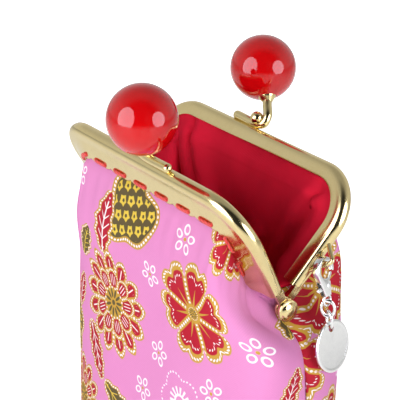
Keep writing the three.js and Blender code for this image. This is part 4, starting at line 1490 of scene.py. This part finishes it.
PLACING = {"Place": VECTOR, "Middle": VECTOR, "Turn": VALUE, "Size": VALUE}
PAINTS = {"Local": VECTOR, "Fill": COLOUR, "Edge": COLOUR, "Dot": COLOUR}
MOTIF = {"Colour": COLOUR, "Cover": VALUE}
PETALS = dict.fromkeys(("Petals", "Waist", "Fullness", "Notch", "Rays", "Hatch", "Beads", "Band"), VALUE)
INKS = dict.fromkeys(("Ground", "Red", "Gold", "White", "Olive", "Yellow"), COLOUR)
FLOWER_PETALS = {"Petals": 6.0, "Waist": 0.58, "Fullness": 4.4, "Notch": 0.1, "Band": 0.04}
FLOWER_PETALS |= {"Rays": 1.0, "Hatch": 0.0, "Beads": 1.0}
HATCHED_PETALS = {"Notch": 0.0, "Band": 0.0, "Rays": 0.0, "Hatch": 1.0, "Beads": 0.0}
OUTER_PETALS = {"Petals": 13.0, "Waist": 0.66, "Fullness": 1.3} | HATCHED_PETALS
INNER_PETALS = {"Petals": 9.0, "Waist": 0.62, "Fullness": 1.5} | HATCHED_PETALS
RIM_DOTS = (0.092, 0.03)
# How many times smaller than its flower each inner part is drawn
FLOWER_SEEDS = 7.5
INNER_RING = 1.5
RING_SEEDS = 3.4
# Dark pink of the painted shade between the cotton's threads
WEAVE_SHADOW = (0.25, 0.05, 0.15)


def scaled(place, times):
    return vector_node("SCALE", place, None, None, times)


def polar(local):
    """Distance from the middle and angle round it."""
    x, y, _ = split(local)
    return length_of(local), math_node("ARCTAN2", y, x)


def petal_phase(angle, petals):
    """From -1 to 1 across each petal, 0 on its middle line."""
    return fract(angle / math.tau * petals + 20.5) * 2.0 - 1.0


def dots(run, away, spacing, radius):
    """Round dots along a line, from the run along it and the distance away from it."""
    beside = (fract(run / spacing) - 0.5) * spacing
    return step(hypot(beside, away), radius * 1.25, radius * 0.75)


@shared_group("Motif place", PLACING, {"Local": VECTOR})
def motif_place(given):
    """Places of the cloth seen from a motif's middle, repeated over the cloth."""
    away = vector_node("SUBTRACT", given["Place"], given["Middle"])
    wide, high = REPEAT[0] / 2, REPEAT[1] / 2
    wrapped = vector_node("WRAP", away, (wide, high, 1.0), (-wide, -high, -1.0))
    turn = (wrapped, None, None, given["Turn"])
    turned = add(tree_of(wrapped), "ShaderNodeVectorRotate", *turn, rotation_type="Z_AXIS")
    return {"Local": scaled(turned, 1.0 / given["Size"])}


@shared_group("Petal ring", PAINTS | PETALS, MOTIF)
def petal_ring(given):
    """A ring of petals, each edged with a dotted band, with rays or hatching on it."""
    distance, angle = polar(given["Local"])
    phase = petal_phase(angle, given["Petals"])
    wide = abs(phase)
    arch = math_node("SQRT", 1.0 - wide ** given["Fullness"])
    dent = math_node("EXPONENT", phase * phase * -34.0) * given["Notch"]
    reach = (1.0 - given["Waist"]) * arch + given["Waist"] - dent
    inside = reach - distance
    across = math.pi / given["Petals"]
    width = distance * across
    gap = (1.0 - wide) * width
    edge = math_node("MINIMUM", inside - given["Band"], gap)
    rim_run = wide * reach * across - (distance + dent)
    rim = dots(rim_run, inside, *RIM_DOTS)
    seam = dots(distance, gap, *RIM_DOTS) * step(distance, 0.2, 0.24) * step(inside, -0.02, 0.05)
    inner = dots(rim_run, inside - 0.21, 0.105, 0.025) * step(gap, 0.1, 0.13) * given["Beads"]
    ray = step(distance * -0.075 + 0.052 - wide * width, 0.0, 0.012)
    ray = ray * step(distance, 0.6, 0.56) * given["Rays"]
    hatch = step(zigzag(phase * width, 0.045), 0.016, 0.008) * given["Hatch"] * step(edge, 0.1, 0.12)
    hatch = hatch * step(distance, 0.5, 0.54) * step(inside, 0.12, 0.16)
    colour = mix(step(edge, 0.055, 0.08), given["Edge"], given["Fill"])
    colour = mix(ray, colour, given["Edge"])
    colour = mix(rim | seam | inner | hatch, colour, given["Dot"])
    return {"Colour": colour, "Cover": step(inside, -0.085, -0.055)}


@shared_group("Flower middle", PAINTS, MOTIF)
def flower_middle(given):
    """A flower's round middle with seeds on it."""
    distance, angle = polar(given["Local"])
    wide = petal_phase(angle, 11.0) * distance * (math.pi / 11)
    seed = step(hypot(wide, (distance - 0.62) * 0.32), 0.11, 0.085)
    core = step(distance, 0.2, 0.15)
    rim = dots(angle, distance - 0.99, 0.35, 0.07)
    colour = mix(seed | core, given["Edge"], given["Fill"])
    return {"Colour": mix(rim, colour, given["Dot"]), "Cover": step(distance, 1.1, 1.03)}


@shared_group("Leaf", PAINTS | {"Vein": COLOUR}, MOTIF)
def leaf(given):
    """A toothed leaf with a dotted edge and pale veins."""
    along, across, _ = split(given["Local"])
    beside = abs(across)
    body = math_node("MAXIMUM", 1.0 - along * along, 0.0) ** 0.75
    edge = body * (zigzag(along + 5.0, 0.22) * 0.55 + 0.33) - beside
    cover = step(edge, -0.1, -0.07) * step(abs(along), 1.0, 0.97)
    fill = step(edge, 0.05, 0.08)
    rim = dots(along, edge, 0.1, 0.034)
    rib = step(beside, 0.03, 0.018) * step(along, 0.7, 0.65)
    slope = beside * -1.1 + along
    vein = step(zigzag(slope + 5.0, 0.16), 0.03, 0.016) * step(edge, 0.13, 0.17)
    colour = mix(fill, given["Edge"], given["Fill"])
    colour = mix((rib | vein) * fill, colour, given["Vein"])
    return {"Colour": mix(rim, colour, given["Dot"]), "Cover": cover}


@shared_group("Flower patch", PAINTS | {"Vein": COLOUR}, MOTIF)
def flower_patch(given):
    """A cloud of small five-sided flowers in rows."""
    distance, angle = polar(given["Local"])
    reach = sine(angle * 3.0) * 0.13 + (sine(angle * 5.0 + 1.3) * 0.07 + 0.8)
    inside = reach - distance
    rim = dots(angle * 0.82, inside, *RIM_DOTS)
    x, y, _ = split(given["Local"])
    row = y / 0.3
    shift = math_node("MODULO", math_node("FLOOR", row), 2.0) * 0.14
    x, y = fract((x + shift) / 0.28) - 0.5, fract(row) - 0.5
    near, turn = polar(add(tree_of(x), "ShaderNodeCombineXYZ", x, y))
    phase = petal_phase(turn + QUARTER, 5.0)
    five = near * cosine(phase * (math.pi / 5))
    outer = abs(phase) * 0.05 + 0.33 - five
    flower = step(outer, 0.0, 0.05) * step(five, 0.1, 0.14) * step(inside, 0.1, 0.12)
    colour = mix(step(inside, 0.05, 0.08), given["Edge"], given["Fill"])
    colour = mix(flower, colour, given["Vein"])
    return {"Colour": mix(rim, colour, given["Dot"]), "Cover": step(inside, -0.085, -0.055)}


@shared_group("White blossom", PAINTS, MOTIF)
def white_blossom(given):
    """An outlined five-petal blossom with a gold middle."""
    distance, angle = polar(given["Local"])
    phase = petal_phase(angle, 5.0) * (math.pi / 5)
    along = (distance * cosine(phase) - 0.62) / 0.33
    across = distance * sine(phase) / 0.25
    petal = step(abs(hypot(along, across) - 0.85), 0.27, 0.15)
    middle = step(distance, 0.15, 0.1)
    return {"Colour": mix(middle, given["Dot"], given["Edge"]), "Cover": petal | middle}


@shared_group("White sun", PAINTS, MOTIF)
def white_sun(given):
    """A small rayed blossom inside a cloud drawn in dots."""
    distance, angle = polar(given["Local"])
    phase = abs(petal_phase(angle, 14.0))
    ray = step(phase, 0.5, 0.35) * step(distance, 0.2, 0.24) * step(distance, 0.5, 0.46)
    ring = step(abs(distance - 0.22), 0.05, 0.03)
    cloud = abs(sine(angle * 2.5)) * 0.2 + 0.72
    line = dots(angle * 0.84, distance - cloud, 0.13, 0.034)
    middle = step(distance, 0.09, 0.06)
    return {"Colour": mix(middle, given["Dot"], given["Edge"]), "Cover": ray | ring | line | middle}


@shared_group("Floral print", {"Place": VECTOR} | INKS, {"Colour": COLOUR})
def floral_print(given):
    """The whole print, from places on the cloth in millimetres."""
    red, olive, yellow = given["Red"], given["Olive"], given["Yellow"]
    colour = given["Ground"]

    def paint(motif, spot, fill, **values):
        nonlocal colour
        made = motif(Local=spot, Edge=given["Gold"], Dot=given["White"], Fill=fill, **values)
        colour = mix(made["Cover"], colour, made["Colour"])

    def local(row):
        across, down, size, turn = row[:4]
        return motif_place(Place=given["Place"], Middle=(across, down, 0.0), Turn=turn, Size=size)["Local"]

    def nearest(rows):
        """The place seen from the nearest motif of a kind, and that motif's own last value."""
        found, last = local(rows[0]), rows[0][-1]
        for row in rows[1:]:
            spot = local(row)
            closer = math_node("LESS_THAN", length_of(spot), length_of(found))
            found = mix(closer, found, spot)
            last = closer * (row[-1] - last) + last
        return found, last

    paint(white_sun, nearest(SUNS)[0], red)
    paint(white_blossom, nearest(BLOSSOMS)[0], red)
    paint(flower_patch, nearest(PATCHES)[0], olive, Vein=yellow)
    spot, is_olive = nearest(LEAVES)
    paint(leaf, spot, mix(is_olive, red, olive), Vein=mix(is_olive, given["White"], yellow))
    spot, _ = nearest(FLOWERS)
    paint(petal_ring, spot, red, **FLOWER_PETALS)
    paint(flower_middle, scaled(spot, FLOWER_SEEDS), olive)
    spot, _ = nearest(MANY_PETALLED)
    paint(petal_ring, spot, red, **OUTER_PETALS)
    paint(petal_ring, scaled(spot, INNER_RING), red, **INNER_PETALS)
    paint(flower_middle, scaled(spot, RING_SEEDS), olive)
    return {"Colour": colour}


@material("Printed cotton")
def printed_cotton(tree):
    cloth = bpy.context.scene.purse_cloth
    place = cloth_place(tree)
    colour = floral_print(Place=place, **{ink: getattr(cloth, ink.lower()) for ink in INKS})["Colour"]
    weave = cotton_weave(Place=place, Pitch=cloth.weave_pitch / MM)
    colour = mix(step(noise(place, 0.05, 3.0), 0.3, 0.7) * 0.01, colour, cloth.white)
    return {
        # Painted shade between the threads, with a random mottle, darkens the print towards the weave's
        # shadow colour
        "Base Color": mix((1.0 - weave["Shade"]) * 0.14, colour, WEAVE_SHADOW),
        "Roughness": weave["Height"] * -0.1 + 0.82,
        "Specular IOR Level": 0.06,
        "Normal": bumped(weave["Height"], 0.25, 0.00006),
    }


# Values that a user would change

SHARE = {"subtype": "FACTOR", "max": 1.0}
LENGTH = {"unit": "LENGTH", "precision": 5}
POWER = {"unit": "POWER"}


def colour_of(label, text, default):
    limits = {"subtype": "COLOR", "size": 3, "min": 0.0, "max": 1.0}
    return bpy.props.FloatVectorProperty(name=label, description=text, default=default, **limits)


def amount_of(label, text, default, **kind):
    limits = {"min": 0.0} | kind
    return bpy.props.FloatProperty(name=label, description=text, default=default, **limits)


class PurseFinish(bpy.types.PropertyGroup):
    gold: colour_of("Gold", "Bright face of the gold plate", (0.78, 0.645, 0.33))
    gold_shade: colour_of("Gold shade", "Rubbed parts of the gold plate", (0.71, 0.57, 0.27))
    gold_roughness: amount_of("Gold roughness", "How blurred the gold's reflections are", 0.14, **SHARE)
    silver: colour_of("Silver", "Bright face of the silver plate", (0.87, 0.87, 0.855))
    silver_shade: colour_of("Silver shade", "Rubbed parts of the silver plate", (0.75, 0.75, 0.74))
    silver_roughness: amount_of("Silver roughness", "How blurred the silver's reflections are", 0.14, **SHARE)
    ball: colour_of("Ball red", "Main colour of the clasp balls", (0.56, 0.0015, 0.003))
    ball_shade: colour_of("Ball shade", "Deeper streaks in the clasp balls", (0.5, 0.0015, 0.003))


class PurseCloth(bpy.types.PropertyGroup):
    ground: colour_of("Ground", "Ground colour of the printed cotton", (0.755, 0.278, 0.57))
    red: colour_of("Print red", "Petals and red leaves", (0.46, 0.008, 0.016))
    gold: colour_of("Print gold", "Bands round the motifs", (0.58, 0.35, 0.035))
    white: colour_of("Print white", "Dots, veins and blossoms", (0.97, 0.93, 0.95))
    olive: colour_of("Print olive", "Patches, seeds and dark leaves", (0.10, 0.09, 0.025))
    yellow: colour_of("Print yellow", "Small flowers on the patches", (0.78, 0.58, 0.06))
    lining: colour_of("Lining", "Colour of the lining", (0.78, 0.013, 0.046))
    # Colour of the painted shade between the lining's threads
    lining_shade: colour_of("Lining shade", "Between the lining's threads", (0.62, 0.009, 0.034))
    thread: colour_of("Thread", "Colour of the sewing thread", (0.78, 0.035, 0.026))
    # Colour of the painted shade between the thread's strands
    thread_shade: colour_of("Thread shade", "Between the strands of the thread", (0.5, 0.018, 0.014))
    weave_pitch: amount_of("Weave pitch", "Distance between threads of the cotton", 0.00036, **LENGTH)
    gather: amount_of("Gather", "Height of the puckers under the frame", 0.0002, **LENGTH)
    seam_valley: amount_of("Seam valley", "How far the side seams sink", 0.0009, **LENGTH)
    thread_radius: amount_of("Thread radius", "Half the width of the sewing thread", 0.00076, **LENGTH)


class PurseStage(bpy.types.PropertyGroup):
    left_power: amount_of("Left softbox", "Power of the softbox left of the camera", 8.8, **POWER)
    right_power: amount_of("Right softbox", "Power of the softbox right of the camera", 5.5, **POWER)
    top_power: amount_of("Top softbox", "Power of the softbox overhead", 3.0, **POWER)
    back_power: amount_of("Back softbox", "Power of the softbox behind the purse", 5.0, **POWER)
    gleam: amount_of("Gleam", "Power of the left softbox as gloss and metal mirror it", 14.0, **POWER)
    surround: amount_of("Surround", "Brightness of the white studio round the purse", 0.68)
    lens: amount_of("Lens", "Focal length of the camera in millimetres", 136.2, min=1.0)


OPERATORS = (
    PURSE_OT_frame_halves,
    PURSE_OT_rivets,
    PURSE_OT_balls,
    PURSE_OT_panels,
    PURSE_OT_lining,
    PURSE_OT_stitching,
    PURSE_OT_clasp,
    PURSE_OT_charm,
    PURSE_OT_stage,
)


class PURSE_PT_sidebar(bpy.types.Panel):
    bl_idname = "PURSE_PT_sidebar"
    bl_label = "Kiss-lock purse"
    bl_space_type = "VIEW_3D"
    bl_region_type = "UI"
    bl_category = "Purse"

    def draw(self, context):
        for operator in OPERATORS:
            self.layout.operator(operator.bl_idname)


GROUPS = {"purse_finish": PurseFinish, "purse_cloth": PurseCloth, "purse_stage": PurseStage}


def register():
    for name, group in GROUPS.items():
        bpy.utils.register_class(group)
        setattr(bpy.types.Scene, name, bpy.props.PointerProperty(type=group))
    for operator in OPERATORS:
        bpy.utils.register_class(operator)
    bpy.utils.register_class(PURSE_PT_sidebar)


def unregister():
    bpy.utils.unregister_class(PURSE_PT_sidebar)
    for operator in reversed(OPERATORS):
        bpy.utils.unregister_class(operator)
    for name, group in GROUPS.items():
        delattr(bpy.types.Scene, name)
        bpy.utils.unregister_class(group)


def main():
    register()
    bpy.ops.purse.frame_halves()
    bpy.ops.purse.rivets()
    bpy.ops.purse.balls()
    bpy.ops.purse.panels()
    bpy.ops.purse.lining()
    bpy.ops.purse.stitching()
    bpy.ops.purse.clasp()
    bpy.ops.purse.charm()
    bpy.ops.purse.stage()


if __name__ == "__main__":
    main()
